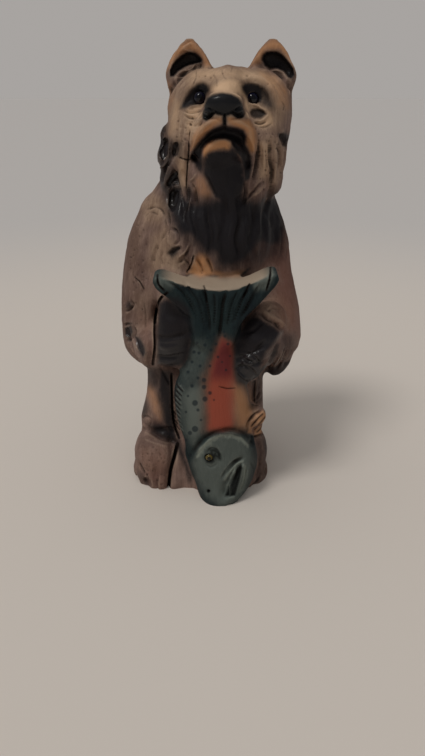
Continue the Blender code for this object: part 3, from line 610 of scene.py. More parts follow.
# Paler teal: the tail's tips, a painted highlight on the gill cover's rim, the side's middle, the head and
# the tail's root.
PALE_TEAL_AND_HIGHLIGHTS = (
    (4.0, 0.5, ((152, 275), (158, 270), (168, 273), (177, 281), (170, 290), (158, 287))),
    (4.0, 0.75, ((254, 282), (265, 269), (272, 266), (275, 274), (267, 289), (256, 291))),
    # A painted highlight along the gill cover's rim.
    (1.6, 1.0, ((195, 459), (200, 448), (209, 439.5), (220, 434.5), (232, 434), (243, 438.5), (250, 447),
                (248, 449.5), (240, 442.5), (231, 438.5), (220, 439), (211, 443.5), (204, 451),
                (200, 460))),
    (8.0, 1.0, ((182, 396), (190, 386), (202, 386), (206, 400), (204, 428), (194, 444), (186, 430))),
    (6.0, 0.75, ((192, 464), (200, 448), (214, 438), (232, 434), (248, 442), (256, 460), (248, 484),
                 (238, 502), (222, 508), (206, 496), (196, 478))),
    (8.0, 0.4, ((184, 344), (204, 340), (210, 350), (202, 386), (182, 392), (180, 360))),
    # A painted highlight beside each stroke of the fin along the back.
    *((0.7, 1.0, ((bend + 174.8, v), (bend + 175.8, v - 0.4), (bend + 181.2, v + 6.4),
                  (bend + 180.4, v + 7.2))) for bend, v in FIN_STROKES),
)
# Painted highlights on the rims of the trout's gill cover and upper jaw.
PAINTED_RIM_HIGHLIGHTS = (
    (1.0, 1.0, ((196, 457), (201, 447.5), (209, 439.5), (219, 435), (231, 434.2), (241, 437.5), (249, 445),
                (248, 447.2), (240.5, 440), (231, 436.8), (219.5, 437.6), (210, 441.9), (202.5, 449.6),
                (198, 458.4))),
    (0.9, 0.9, ((224, 480), (229, 471.5), (236, 464), (243.5, 460), (243.7, 461.8), (236.8, 465.8),
                (230.4, 473), (225.6, 481))),
    (0.9, 0.7, ((244, 464), (246.5, 466), (245.5, 480), (240.5, 493), (239.3, 492), (243.2, 480))),
)
# The trout's spots: u, v and radius. A point far from them all has this depth inside a spot, and a spot's
# edge is this soft.
NO_SPOT = -9.0
SPOT_EDGE = (-1.0, 0.6)
TROUT_SPOTS = (
    (192, 386, 1.6), (195, 403, 2.6), (205, 399, 2.4), (198, 410, 1.4), (204, 387, 2.0), (204, 380, 2.0),
    (210, 393, 1.7), (195, 429, 3.0), (190, 433, 1.9), (190, 455, 1.6), (197, 343, 1.2), (205, 345, 1.5),
    (199, 353, 1.3), (194, 352, 1.4), (211, 350, 1.3), (225, 336, 1.2), (228, 344, 1.3), (218, 357, 1.2),
    (216, 344, 1.2), (192, 362, 1.3), (200, 366, 1.4), (226, 370, 1.0), (188, 372, 1.4), (198, 378, 1.3),
    (222, 362, 0.9), (210, 366, 1.2), (186, 412, 1.2), (188, 396, 1.1), (207, 338, 1.0), (214, 334, 1.0),
    (201, 420, 1.1), (186, 440, 1.3), (230, 356, 0.9), (214, 400, 0.8), (224, 332, 1.1),
)

# Glossy black: the nose and what runs down from it.
NOSE_BLACK = (
    (1.6, 1.0, ((204, 105), (207, 98), (213, 94), (222, 92.5), (232, 94), (239, 98), (243, 104),
                (244.5, 111), (243, 116.5), (237, 118), (231, 115), (227, 116), (226.5, 126), (222.5, 126),
                (222, 116), (214, 114.5), (207, 121), (202.5, 119), (202.5, 110))),
)
# What still shines: the mane's edges, the knuckles and the claws.
GLOSSY = (
    (4.0, 0.8, ((157, 136), (168, 138), (176, 160), (180, 188), (182, 204), (176, 214), (164, 194),
                (156, 170))),
    (4.0, 0.7, ((156, 340), (184, 338), (182, 364), (156, 364))),
    (3.0, 1.0, ((234, 356), (258, 352), (262, 366), (252, 384), (236, 380))),
    (4.0, 0.6, ((262, 340), (284, 330), (284, 366), (264, 368))),
    (4.0, 0.5, ((124, 320), (136, 322), (148, 356), (140, 362), (126, 342))),
)
# Painted shade, dull black, in the trout's mouth, the nostrils and the rim round the trout's eye.
SHADED_HOLES = (
    (1.6, 0.9, ((241, 465), (243, 468), (240, 482), (235.5, 495.5), (229.5, 496.5), (231.5, 485),
                (236, 474))),
    (1.0, 1.0, ((203, 113), (206, 115), (213, 113), (210, 117), (206, 121), (203, 119))),
    (1.0, 1.0, ((245, 112), (242, 115), (235, 113), (237, 117), (242, 118.5), (244, 117))),
    (0.8, 1.0, ((206.6, 489.6), (208.6, 488.8), (210.4, 490), (210.2, 492.2), (208.4, 493), (206.6, 492))),
    (1.0, 0.95, ((241, 463), (236.5, 470), (231, 482), (225, 496), (229.5, 496), (234, 486), (239, 475))),
    (1.6, 0.9, ((206, 452), (210, 448.5), (216, 448.5), (221, 454), (221.5, 460), (218.5, 460),
                (216.5, 453.5), (211, 451.5))),
    (1.6, 0.9, ((203.5, 458), (206, 453.5), (212, 452), (216.5, 455), (216.5, 460), (212, 463.5),
                (206.5, 463))),
)

# The order in which the grooves are cut.
ALL_GROOVES = (
    CHEST_GROOVES, MANE_GROOVES, ARM_GROOVES, LEG_GROOVES, TROUT_GROOVES, FACE_GROOVES, NOSE_GROOVES,
)

# Where each paint and stain, and each painted shade and highlight, lies, under the name that the mesh keeps
# it by.
PAINTED_PLACES = {
    "soot_and_shade": HEAD_SOOT_AND_SHADE + BODY_SOOT_AND_SHADE,
    "orange_tan": ORANGE_TAN,
    "pale_wood": PALE_WOOD,
    "paler_and_lit": PALER_AND_LIT,
    "redder_stain_and_shade": REDDER_STAIN_AND_SHADE,
    "red_band": RED_BAND,
    "red_fade": RED_FADE,
    "deep_red": DEEP_RED,
    "pale_teal_and_highlights": PALE_TEAL_AND_HIGHLIGHTS,
    "rim_highlights": PAINTED_RIM_HIGHLIGHTS,
    "nose_black": NOSE_BLACK,
    "shaded_holes": SHADED_HOLES,
    "glossy": GLOSSY,
}

# Noises of the wood's grain and of the brush: how dense along x, y and z, how much detail, and how rough.
GRAIN_STREAKS = ((170, 170, 9), 6, 0.65)
GRAIN_BLOTCHES = ((16, 16, 9), 5, 0.6)
GRAIN_SPECKS = ((420, 420, 190), 3, 0.6)
GRAIN_SCRATCHES = ((520, 520, 42), 4, 0.7)
BRUSH_STROKES = ((60, 60, 34), 6, 0.65)
BRUSH_HAIRS = ((330, 330, 120), 4, 0.65)
# The height of the grain, in m.
GRAIN_HEIGHT = 0.0015

# The light and the dark tone of the stained wood, of the paler wood that also carries painted light, and of
# the trout's sides.
STAINED_WOOD = ((0.29, 0.192, 0.155, 1), (0.125, 0.074, 0.059, 1))
PALER_AND_LIT_WOOD = ((0.46, 0.32, 0.22, 1), (0.2, 0.125, 0.085, 1))
TEAL = ((0.02, 0.034, 0.035, 1), (0.006, 0.011, 0.014, 1))
# Paints in the order in which they are laid: where, the colour, how broken its edge is, and how well it
# covers.
WOOD_PAINTS = (
    ("pale_wood", (0.72, 0.48, 0.3, 1), 0.4, 0.85),
    ("orange_tan", (0.6, 0.29, 0.125, 1), 0.55, 0.85),
    # A redder stain, which on the left arm is painted shade.
    ("redder_stain_and_shade", (0.16, 0.06, 0.042, 1), 0.5, 0.7),
)
TROUT_PAINTS = (
    # Paler teal paint, which on the gill cover's rim and beside the fin's strokes is a painted highlight.
    ("pale_teal_and_highlights", (0.15, 0.17, 0.15, 1), 0.45, 0.8),
    ("red_fade", (0.3, 0.13, 0.075, 1), 0.4, 0.6),
    ("red_band", (0.36, 0.078, 0.046, 1), 0.55, 0.9),
)
# Painted shade, in the broad hollows and the fine crevices.
HOLLOW_SHADE = (
    ("hollow", (0.018, 0.011, 0.008, 1), 0.5, 0.6),
    ("crevice", (0.008, 0.006, 0.005, 1), 0.4, 0.62),
)
# Paints that are laid one by one.
DEEP_RED_PAINT = (0.13, 0.02, 0.025, 1)
TAIL_CREAM = (0.4, 0.31, 0.23, 1)
SPOT_BLUE = (0.01, 0.017, 0.023, 1)
# Black paint, also painted shade in the hollows and under the chin.
SOOT_AND_SHADE_BLACK = (0.0085, 0.008, 0.0105, 1)
WORN_WOOD = (0.52, 0.38, 0.27, 1)
# Painted highlights on the trout's raised edges and on its rims.
TEAL_EDGE_HIGHLIGHT = (0.33, 0.36, 0.31, 1)
RIM_HIGHLIGHT_TONE = (0.3, 0.33, 0.28, 1)
NOSE_PAINT = (0.0075, 0.0075, 0.009, 1)
# Painted shade in the mouths, the nostrils and round the trout's eye.
HOLE_SHADE_BLACK = (0.003, 0.003, 0.003, 1)
# Painted shade inside the cracks and cuts.
SLIT_SHADE_BROWN = (0.009, 0.005, 0.004, 1)

# Glass eyes: the pupil's colour, the colour of the rim and where it begins and is in full, in the ball's
# radii from its front point, then each eye's node, piece, slot, the colour of its ring and where the ring
# begins.
PUPIL_BLACK = (0.003, 0.003, 0.005, 1)
RIM_BLACK = (0.004, 0.004, 0.004, 1)
EYE_RIM = (0.95, 1.1)
EYE_BLUE = (0.004, 0.004, 0.014, 1)
EYE_GOLD = (0.11, 0.08, 0.02, 1)
GLASS_EYES = (
    ("bear_right_eye", "right_eye_ball", "dark_glass_right", EYE_BLUE, 0.5),
    ("bear_left_eye", "left_eye_ball", "dark_glass_left", EYE_BLUE, 0.5),
    ("trout_eye", "trout_eye_ball", "gold_glass", EYE_GOLD, 0.42),
)

# The floor keeps its own tone this near the bear and takes the backdrop's this far off, in m.
FLOOR_NEAR = 0.6
FLOOR_FAR = 2.4
FLOOR_NEAR_TONE = (0.7, 0.635, 0.575, 1)
FLOOR_FAR_TONE = (0.59, 0.56, 0.54, 1)
BACKDROP_TONE = (0.39, 0.37, 0.355, 1)
ROOM_TONE = (0.96, 0.98, 1, 1)
ROOM_STRENGTH = 0.15
# Lamps: name, strength, how wide it is in degrees, the direction that it comes from, and whether it makes
# glints.
LAMP_TONE = (1, 0.98, 0.95)
LAMPS = (
    ("key", 1.0, 16, (-0.42, -0.38, 1), True),
    ("overhead", 0.85, 100, (-0.15, -0.2, 1), False),
)


def seen_from_front(places):
    """Where points in mm show in the front view, as u and v, and how far they are from its camera."""
    away = places - np.array(CAMERA_PLACE)
    pitch = math.radians(CAMERA_PITCH)
    depth = away[:, 1] * math.cos(pitch) - away[:, 2] * math.sin(pitch)
    rise = away[:, 1] * math.sin(pitch) + away[:, 2] * math.cos(pitch)
    u = VIEW_WIDTH / 2 + CAMERA_LENS * away[:, 0] / depth
    v = VIEW_HEIGHT / 2 - CAMERA_LENS * rise / depth
    return np.column_stack([u, v]), depth


def place_in_view(u, v, y):
    """The place in mm at depth y that shows at u and v in the front view."""
    pitch = math.radians(CAMERA_PITCH)
    aside = (u - VIEW_WIDTH / 2) / CAMERA_LENS
    rise = (VIEW_HEIGHT / 2 - v) / CAMERA_LENS
    onward = math.cos(pitch) + rise * math.sin(pitch)
    upward = rise * math.cos(pitch) - math.sin(pitch)
    ray = np.array([aside, onward, upward])
    return np.array(CAMERA_PLACE) + ray * (y - CAMERA_PLACE[1]) / ray[1]


def smooth_path(points, steps):
    """Points on a Catmull-Rom curve through the given ones."""
    knots = np.array(points, float)
    padded = np.vstack([2 * knots[0] - knots[1], knots, 2 * knots[-1] - knots[-2]])
    found = []
    for i in range(len(knots) - 1):
        a, b, c, d = padded[i:i + 4]
        for t in np.arange(steps) / steps:
            bend = (2 * a - 5 * b + 4 * c - d) * t ** 2 + (3 * b - a - 3 * c + d) * t ** 3
            found.append(0.5 * (2 * b + (c - a) * t + bend))
    found.append(knots[-1])
    return np.array(found)


def inside_by(points, outline):
    """How far each point lies inside a closed outline, negative outside it."""
    corners = np.array(outline, float)
    least = np.full(len(points), np.inf)
    crossings = np.zeros(len(points), int)
    for a, b in zip(corners, np.roll(corners, -1, axis=0)):
        along = np.clip(((points - a) @ (b - a)) / max((b - a) @ (b - a), 1e-9), 0, 1)
        least = np.minimum(least, np.linalg.norm(points - a - along[:, None] * (b - a), axis=1))
        level = (points[:, 1] >= a[1]) != (points[:, 1] >= b[1])
        if a[1] != b[1]:
            edge = a[0] + (points[:, 1] - a[1]) * (b[0] - a[0]) / (b[1] - a[1])
            crossings += level & (points[:, 0] < edge)
    return np.where(crossings % 2 == 1, least, -least)


def ramp(values, low, high):
    """0 below low and 1 above high, rising smoothly between them."""
    t = np.clip((values - low) / (high - low), 0, 1)
    return t * t * (3 - 2 * t)


class Skin:
    """The points of a mesh in mm with their normals, neighbours, and where they show in the front view."""

    def __init__(self, mesh):
        self.mesh = mesh
        ends = np.empty(2 * len(mesh.edges), np.int32)
        mesh.edges.foreach_get("vertices", ends)
        self.ends = ends.reshape(-1, 2)
        self.degree = np.bincount(self.ends.ravel(), minlength=len(mesh.vertices))
        self.read()

    def read(self):
        """Takes the points from the mesh, and finds which of them can be carved and which can be painted."""
        self.places = np.empty((len(self.mesh.vertices), 3), np.float32)
        self.normals = np.empty((len(self.mesh.vertices), 3), np.float32)
        self.mesh.vertices.foreach_get("co", self.places.ravel())
        self.mesh.vertices.foreach_get("normal", self.normals.ravel())
        self.seen, self.depth = seen_from_front(self.places)
        self.away = self.places - np.array(CAMERA_PLACE)
        self.away /= np.linalg.norm(self.away, axis=1)[:, None]
        facing = -(self.normals * self.away).sum(axis=1)
        cells = np.clip((self.seen / SIGHT_CELL).astype(int), 0, SIGHT_CELLS - 1)
        nearest = np.full((SIGHT_CELLS, SIGHT_CELLS), np.inf)
        np.minimum.at(nearest, (cells[:, 0], cells[:, 1]), self.depth)
        behind = self.depth - nearest[cells[:, 0], cells[:, 1]]
        self.in_sight = self.spread(ramp(facing, *CARVED_FACING) * (behind < CARVED_BEHIND), CARVED_SPREAD)
        full = ramp(facing, *PAINTED_FACING) * (behind < PAINTED_BEHIND)
        turned_away = ramp(facing, *FADED_FACING) * ramp(-behind, -FADED_BEHIND[1], -FADED_BEHIND[0])
        self.in_reach = self.spread(np.maximum(full, turned_away), PAINTED_SPREAD)

    def within(self, outline, margin):
        """The points in paint's reach that show inside an outline's box, or this near it."""
        corners = np.array(outline)
        box = (self.seen > corners.min(axis=0) - margin) & (self.seen < corners.max(axis=0) + margin)
        return np.flatnonzero(box.all(axis=1) & (self.in_reach > 0))

    def settle(self):
        """Moves the mesh to the carved points and takes the normals that it has now."""
        self.mesh.vertices.foreach_set("co", self.places.ravel())
        self.mesh.update()
        self.read()

    def spread(self, values, rounds):
        """Values of the points, each averaged with its neighbours' this many times."""
        for _ in range(rounds):
            total = (np.bincount(self.ends[:, 0], values[self.ends[:, 1]], len(values))
                     + np.bincount(self.ends[:, 1], values[self.ends[:, 0]], len(values)))
            values = 0.5 * values + 0.5 * total / self.degree
        return values

    def hollowness(self, rounds):
        """How far each point lies below the surface smoothed this many times, in mm."""
        smooth = [self.spread(self.places[:, k].astype(float), rounds) for k in range(3)]
        return ((np.column_stack(smooth) - self.places) * self.normals).sum(axis=1)


def end_fade(along, steepness, start):
    """How deep a stroke is along its length: start times steepness at both ends, rising to 1 between."""
    return np.minimum(1, steepness * np.minimum(along + start, 1 + start - along))


def cut_groove(skin, half_width, depth, path):
    """Cuts a groove along a path in the front view, or raises a ridge if the depth is negative."""
    spots = smooth_path(path, GROOVE_STEPS)
    near = skin.within(spots, half_width)
    gaps = np.linalg.norm(skin.seen[near, None] - spots[None], axis=2)
    along = gaps.argmin(axis=1) / (len(spots) - 1)
    across = np.clip(1 - (gaps.min(axis=1) / half_width) ** 2, 0, 1) ** GROOVE_ROUNDNESS
    amount = depth * end_fade(along, *GROOVE_ENDS) * skin.in_sight[near] * across
    skin.places[near] -= skin.normals[near] * amount[:, None]


def cut_slit(skin, half_width, depth, path):
    """Cuts a sharp slit: the points beside it are drawn onto its line and sunk the most."""
    spots = smooth_path(path, SLIT_STEPS)
    near = skin.within(spots, half_width + SLIT_REACH)
    gaps = np.linalg.norm(skin.seen[near, None] - spots[None], axis=2)
    closest = gaps.argmin(axis=1)
    gap = gaps[np.arange(len(near)), closest]
    view_unit = skin.depth[near] / CAMERA_LENS
    pull = (spots[closest] - skin.seen[near]) * (view_unit * (gap < SLIT_REACH))[:, None]
    pitch = math.radians(CAMERA_PITCH)
    right = np.array([[1, 0, 0]])
    up = np.array([[0, math.sin(pitch), math.cos(pitch)]])
    drawn = pull[:, :1] * right - pull[:, 1:] * up
    gap = np.where(gap < SLIT_REACH, 0, gap)
    fade = end_fade(closest / (len(spots) - 1), *SLIT_ENDS)
    amount = depth * fade * skin.in_sight[near] * np.clip(1 - (gap / half_width) ** 2, 0, 1)
    skin.places[near] += drawn * skin.in_sight[near, None] + skin.away[near] * amount[:, None]


def press_in(skin, softness, depth, outline):
    """Sinks what shows inside an outline straight away from the front view."""
    near = skin.within(outline, softness)
    inside = ramp(inside_by(skin.seen[near], outline), -PRESSED_SPILL * softness, softness)
    amount = depth * inside * skin.in_sight[near]
    skin.places[near] += skin.away[near] * amount[:, None]


def rub_down(skin, rounds, softness, outline):
    """Smooths what shows inside an outline."""
    near = skin.within(outline, softness)
    inside = ramp(inside_by(skin.seen[near], outline), -softness, softness)
    share = np.zeros(len(skin.places))
    share[near] = RUB_STRENGTH * inside * skin.in_reach[near]
    ends = skin.ends[(share[skin.ends] > 0).any(axis=1)]
    touched, index = np.unique(ends, return_inverse=True)
    first, second = index.reshape(-1, 2).T
    count = len(touched)
    degree = np.bincount(first, minlength=count) + np.bincount(second, minlength=count)
    for _ in range(rounds):
        for k in range(3):
            values = skin.places[touched, k].astype(float)
            total = np.bincount(first, values[second], count) + np.bincount(second, values[first], count)
            skin.places[touched, k] = values + share[touched] * (total / degree - values)


def chip(skin, u, v, y, radius, push):
    """Breaks a small piece out of the log's edge by pushing it inwards."""
    gap = np.linalg.norm(skin.places - place_in_view(u, v, y), axis=1) / radius
    near = np.flatnonzero(gap < 1)
    skin.places[near] += np.array(push) * ((1 - gap[near] ** 2) ** CHIP_ROUNDNESS)[:, None]


def painted(skin, places):
    """How much of a paint each point takes from a list of painted places."""
    amount = np.zeros(len(skin.places))
    for softness, strength, outline in places:
        near = skin.within(outline, softness)
        inside = ramp(inside_by(skin.seen[near], outline), -softness, softness)
        amount[near] = np.maximum(amount[near], strength * inside * skin.in_reach[near])
    return amount


def slit_shade(skin):
    """How dark the painted shade inside the slits makes each point."""
    amount = np.zeros(len(skin.places))
    for half_width, _, black, path in SLITS:
        spots = smooth_path(path, SLIT_STEPS)
        near = skin.within(spots, half_width + 1)
        gap = np.linalg.norm(skin.seen[near, None] - spots[None], axis=2).min(axis=1)
        inside = ramp(half_width - gap, *SLIT_BLACK_EDGE)
        amount[near] = np.maximum(amount[near], black * inside * skin.in_sight[near])
    return amount


def new_object(name, data):
    """An object in the scene for this mesh, lamp or camera."""
    made = bpy.data.objects.new(name, data)
    bpy.context.scene.collection.objects.link(made)
    return made


def finished_mesh(thing):
    """The mesh that an object's modifiers make, and the object removed."""
    bpy.context.view_layer.update()
    mesh = bpy.data.meshes.new_from_object(thing.evaluated_get(bpy.context.evaluated_depsgraph_get()))
    bpy.data.objects.remove(thing)
    return mesh


def merged(node):
    """A node's mesh with its doubles merged, as a bmesh in mm."""
    shape = bmesh.new()
    shape.from_mesh(node.data)
    bmesh.ops.remove_doubles(shape, verts=shape.verts, dist=1e-6)
    bmesh.ops.scale(shape, vec=(1000, 1000, 1000), verts=shape.verts)
    return shape


def as_mesh(shape, name):
    """A bmesh turned into a mesh of this name."""
    mesh = bpy.data.meshes.new(name)
    shape.to_mesh(mesh)
    shape.free()
    return mesh


def fresh_skin(node):
    """An even skin over the log drawn out below the floor, with the flats of the solid smoothed away."""
    shape = merged(node)
    under = [face for face in shape.faces if max(vert.co.z for vert in face.verts) < UNDERSIDE_HEIGHT]
    made = bmesh.ops.extrude_face_region(shape, geom=under)["geom"]
    lowered = [item for item in made if isinstance(item, bmesh.types.BMVert)]
    bmesh.ops.translate(shape, vec=(0, 0, -FLOOR_SINK), verts=lowered)
    bmesh.ops.recalc_face_normals(shape, faces=shape.faces)
    thing = new_object("fresh_skin", as_mesh(shape, "fresh_skin"))
    fuse = thing.modifiers.new("even", "REMESH")
    fuse.mode = "VOXEL"
    fuse.voxel_size = SKIN_CELL
    soften = thing.modifiers.new("soften", "SMOOTH")
    soften.factor = 0.5
    soften.iterations = SKIN_SOFTENING
    return finished_mesh(thing)


def coarseness(skin):
    """How few triangles each point needs, from 0 for all of them to 1 for the fewest."""
    coarse = 1 - REACH_FINER * skin.in_reach
    in_reach = skin.in_reach > 0.5
    trout = inside_by(skin.places[:, [0, 2]].astype(float), TROUT_OUTLINE)
    coarse[(trout > -TROUT_FINE_MARGIN) & in_reach] = TROUT_COARSE
    coarse[(skin.seen[:, 1] < HEAD_END) & in_reach] = HEAD_COARSE
    for places in (HEAD_SOOT_AND_SHADE, NOSE_BLACK, SHADED_HOLES, RED_BAND):
        for softness, _, outline in places:
            near = skin.within(outline, softness)
            from_edge = np.abs(inside_by(skin.seen[near], outline))
            coarse[near[from_edge < softness + 0.5]] = PAINT_EDGE_COARSE
    for u, v, radius in TROUT_SPOTS:
        coarse[np.linalg.norm(skin.seen - (u, v), axis=1) < radius + 1] = 0
    coarse[slit_shade(skin) > 0] = 0
    return coarse


def thinned(skin):
    """The log with few triangles at its back and most of them where fine carving and paint need them."""
    thing = new_object("thinned", skin.mesh)
    group = thing.vertex_groups.new(name="coarse")
    levels = np.round(coarseness(skin) * COARSE_LEVELS)
    for level in range(COARSE_LEVELS + 1):
        group.add(np.flatnonzero(levels == level).tolist(), level / COARSE_LEVELS, "REPLACE")
    thin = thing.modifiers.new("thin", "DECIMATE")
    thin.ratio = min(1.0, LOG_TRIANGLES / (2 * len(skin.mesh.polygons)))
    thin.vertex_group = group.name
    thin.vertex_group_factor = 0.02
    return finished_mesh(thing)


def stand_flat(mesh):
    """Cuts the log's end flat at the floor."""
    shape = bmesh.new()
    shape.from_mesh(mesh)
    everything = list(shape.verts) + list(shape.edges) + list(shape.faces)
    bmesh.ops.bisect_plane(shape, geom=everything, plane_co=(0, 0, 0), plane_no=(0, 0, 1), clear_inner=True)
    rim = [edge for edge in shape.edges if edge.is_boundary]
    bmesh.ops.triangle_fill(shape, use_beauty=True, use_dissolve=False, edges=rim, normal=(0, 0, -1))
    bmesh.ops.recalc_face_normals(shape, faces=shape.faces)
    shape.to_mesh(mesh)
    shape.free()


def pit(skin):
    """Small dents scattered over the cheeks, the brow, the foot and the arm, as worn wood has."""
    chance = np.random.default_rng(PIT_SEED)
    for count, outline in PITTED:
        corners = np.array(outline)
        spots = chance.uniform(corners.min(axis=0), corners.max(axis=0), (count, 2))
        sizes = chance.uniform(*PIT_SIZES, count)
        for (u, v), size in zip(spots[inside_by(spots, outline) > 0], sizes):
            end = (u + PIT_LEAN[0] * size, v + PIT_LEAN[1] * size)
            cut_groove(skin, size, PIT_DEPTH * size, ((u, v), end))


def chisel_marks(skin):
    """Shallow facets all over, as a gouge leaves them, and long upright strokes at the back and sides."""
    x, y, z = skin.places.T.astype(float)
    around = np.arctan2(x - LOG_MIDDLE[0], -(y - LOG_MIDDLE[1])) * LOG_RADIUS
    wave = np.sin(around / 5.2 + 1.7 * np.sin(z / 31) + 0.9 * np.sin(z / 13 + around / 17))
    second = np.sin(around / 2.9 + 2.1 * np.sin(z / 23 + around / 29) + 4)
    behind = ramp(y, *STROKES_FROM) * (1 - ramp(np.abs(skin.normals[:, 2]), 0.7, 0.95))
    swell = np.sin(z / 19 + 2.3 * np.sin(around / 24)) * np.sin(around / 15 + 1.3 * np.sin(z / 27))
    ripple = np.sin(around / 3.1 + 1.9 * np.sin(z / 17)) * np.sin(z / 7.3 + 2.7 * np.sin(around / 11))
    strokes = STROKE_DEPTH * np.abs(wave) ** 1.5 + FINE_STROKE_DEPTH * (1 + second)
    amount = behind * strokes + FACET_DEPTH * (1 + swell) + RIPPLE_DEPTH * (1 + ripple)
    skin.places -= skin.normals * amount[:, None].astype(np.float32)


def carve_log(node, low, high):
    """The log's mesh in mm, with all its fine carving, inside the box between low and high."""
    mesh = fresh_skin(node)
    skin = Skin(mesh)
    chisel_marks(skin)
    skin.settle()
    for rounds, softness, outline in RUBBED_PAWS:
        rub_down(skin, rounds, softness, outline)
    skin.settle()
    for softness, depth, outline in PRESSED:
        press_in(skin, softness, depth, outline)
    skin.settle()
    for rounds, softness, outline in RUBBED_EARS:
        rub_down(skin, rounds, softness, outline)
    skin.settle()
    for grooves in ALL_GROOVES:
        for half_width, depth, path in grooves:
            cut_groove(skin, half_width, depth, path)
        skin.settle()
    pit(skin)
    for u, v, y, radius, push in CHIPS:
        chip(skin, u, v, y, radius, push)
    skin.settle()
    for half_width, depth, _, path in SLITS:
        cut_slit(skin, half_width, depth, path)
    low = (low[0], low[1], -FLOOR_SINK)
    skin.places = np.clip(skin.places, np.array(low, np.float32), np.array(high, np.float32))
    skin.settle()
    store_shade_and_wear(skin)
    mesh = thinned(skin)
    stand_flat(mesh)
    mesh.name = "carved_log"
    return mesh


def store(mesh, name, values):
    """Keeps a value for each point of a mesh under this name."""
    kept = mesh.attributes.new(name, "FLOAT", "POINT")
    kept.data.foreach_set("value", np.asarray(values, np.float32))


def store_shade_and_wear(skin):
    """Keeps the broad hollows and fine crevices, which get painted shade, and the raised edges, which are
    painted as wear on the wood and as highlights on the trout.
    """
    fine = skin.hollowness(FINE_ROUNDS)
    broad = skin.hollowness(BROAD_ROUNDS)
    store(skin.mesh, "hollow", ramp(broad, *HOLLOW_DEPTHS))
    store(skin.mesh, "crevice", skin.spread(ramp(fine, *CREVICE_DEPTHS), 1))
    store(skin.mesh, "edge", skin.spread(ramp(-fine - BROAD_SHARE * broad, *EDGE_HEIGHTS), 1))


def trout_part(skin):
    """How much each point belongs to the trout, its sides too."""
    x, y, z = skin.places.T.astype(float)
    inside = inside_by(np.column_stack([x, z]), TROUT_OUTLINE)
    return ramp(inside, *TROUT_EDGE) * ramp(-y, -TROUT_BACK - TROUT_SOFTNESS, -TROUT_BACK + TROUT_SOFTNESS)


def tail_top(skin, trout):
    """Where the pale top of the trout's tail fin lies."""
    x, _, z = skin.places.T.astype(float)
    rim = z - TAIL_CURVE * (x - TAIL_MIDDLE) ** 2
    (right_tip, right_end), (left_end, left_tip) = TAIL_TIPS
    between = ramp(x, right_tip, right_end) * ramp(-x, -left_tip, -left_end)
    return trout * ramp(skin.normals[:, 2], *TAIL_TOP_SLOPE) * ramp(rim, *TAIL_TOP_HEIGHT) * between


def spot_depths(skin):
    """How far inside the nearest of the trout's spots each point shows, in view units."""
    depths = np.full(len(skin.places), NO_SPOT)
    for u, v, radius in TROUT_SPOTS:
        depths = np.maximum(depths, radius - np.linalg.norm(skin.seen - (u, v), axis=1))
    return np.where(skin.in_sight > 0, depths, NO_SPOT)


def paint_log(mesh):
    """Lays out on the log's points where each paint and stain, and each painted shade and highlight, lies."""
    skin = Skin(mesh)
    trout = trout_part(skin)
    store(mesh, "trout", trout)
    store(mesh, "tail_top", tail_top(skin, trout))
    store(mesh, "spots", spot_depths(skin))
    # The painted shade inside the slits.
    store(mesh, "crack", slit_shade(skin))
    for name, places in PAINTED_PLACES.items():
        store(mesh, name, painted(skin, places))


def add(tree, kind, label=None, **settings):
    """A new shader node with these settings."""
    node = tree.nodes.new(kind)
    for name, value in settings.items():
        setattr(node, name, value)
    if label:
        node.label = label
    return node


def new_group(name, inputs, outputs):
    """An empty shader group with these sockets, and its own input and output nodes."""
    group = bpy.data.node_groups.new(name, "ShaderNodeTree")
    for in_out, sockets in (("INPUT", inputs), ("OUTPUT", outputs)):
        for socket, kind in sockets:
            group.interface.new_socket(socket, in_out=in_out, socket_type="NodeSocket" + kind)
    return group, add(group, "NodeGroupInput"), add(group, "NodeGroupOutput")


def noise(tree, density, detail, roughness):
    """A noise on the object's own coordinates, this dense along each axis."""
    place = add(tree, "ShaderNodeTexCoord")
    mapping = add(tree, "ShaderNodeMapping")
    mapping.inputs["Scale"].default_value = density
    tree.links.new(place.outputs["Object"], mapping.inputs["Vector"])
    node = add(tree, "ShaderNodeTexNoise")
    node.inputs["Scale"].default_value = 1
    node.inputs["Detail"].default_value = detail
    node.inputs["Roughness"].default_value = roughness
    tree.links.new(mapping.outputs["Vector"], node.inputs["Vector"])
    return node.outputs["Fac"]


def math_node(tree, operation, a, b, clamp=False):
    """The result of one sum on two numbers or sockets."""
    node = add(tree, "ShaderNodeMath", operation=operation, use_clamp=clamp)
    for socket, value in zip(node.inputs, (a, b)):
        if isinstance(value, (int, float)):
            socket.default_value = value
        else:
            tree.links.new(value, socket)
    return node.outputs["Value"]


def plus(tree, a, b, clamp=False):
    return math_node(tree, "ADD", a, b, clamp)


def minus(tree, a, b, clamp=False):
    return math_node(tree, "SUBTRACT", a, b, clamp)


def times(tree, a, b, clamp=False):
    return math_node(tree, "MULTIPLY", a, b, clamp)


def mix_colour(tree, amount, under, over):
    """One colour laid over another by this amount."""
    node = add(tree, "ShaderNodeMix", data_type="RGBA", clamp_factor=True)
    for socket, value in ((node.inputs[0], amount), (node.inputs[6], under), (node.inputs[7], over)):
        if isinstance(value, (int, float, tuple)):
            socket.default_value = value
        else:
            tree.links.new(value, socket)
    return node.outputs[2]


def soft_step(tree, value, low, high):
    """0 at low and 1 at high, rising smoothly between them."""
    node = add(tree, "ShaderNodeMapRange", interpolation_type="SMOOTHSTEP")
    node.inputs["From Min"].default_value = low
    node.inputs["From Max"].default_value = high
    tree.links.new(value, node.inputs["Value"])
    return node.outputs["Result"]


def attribute(tree, name):
    """A value that is stored on the mesh's points."""
    return add(tree, "ShaderNodeAttribute", label=name, attribute_name=name).outputs["Fac"]


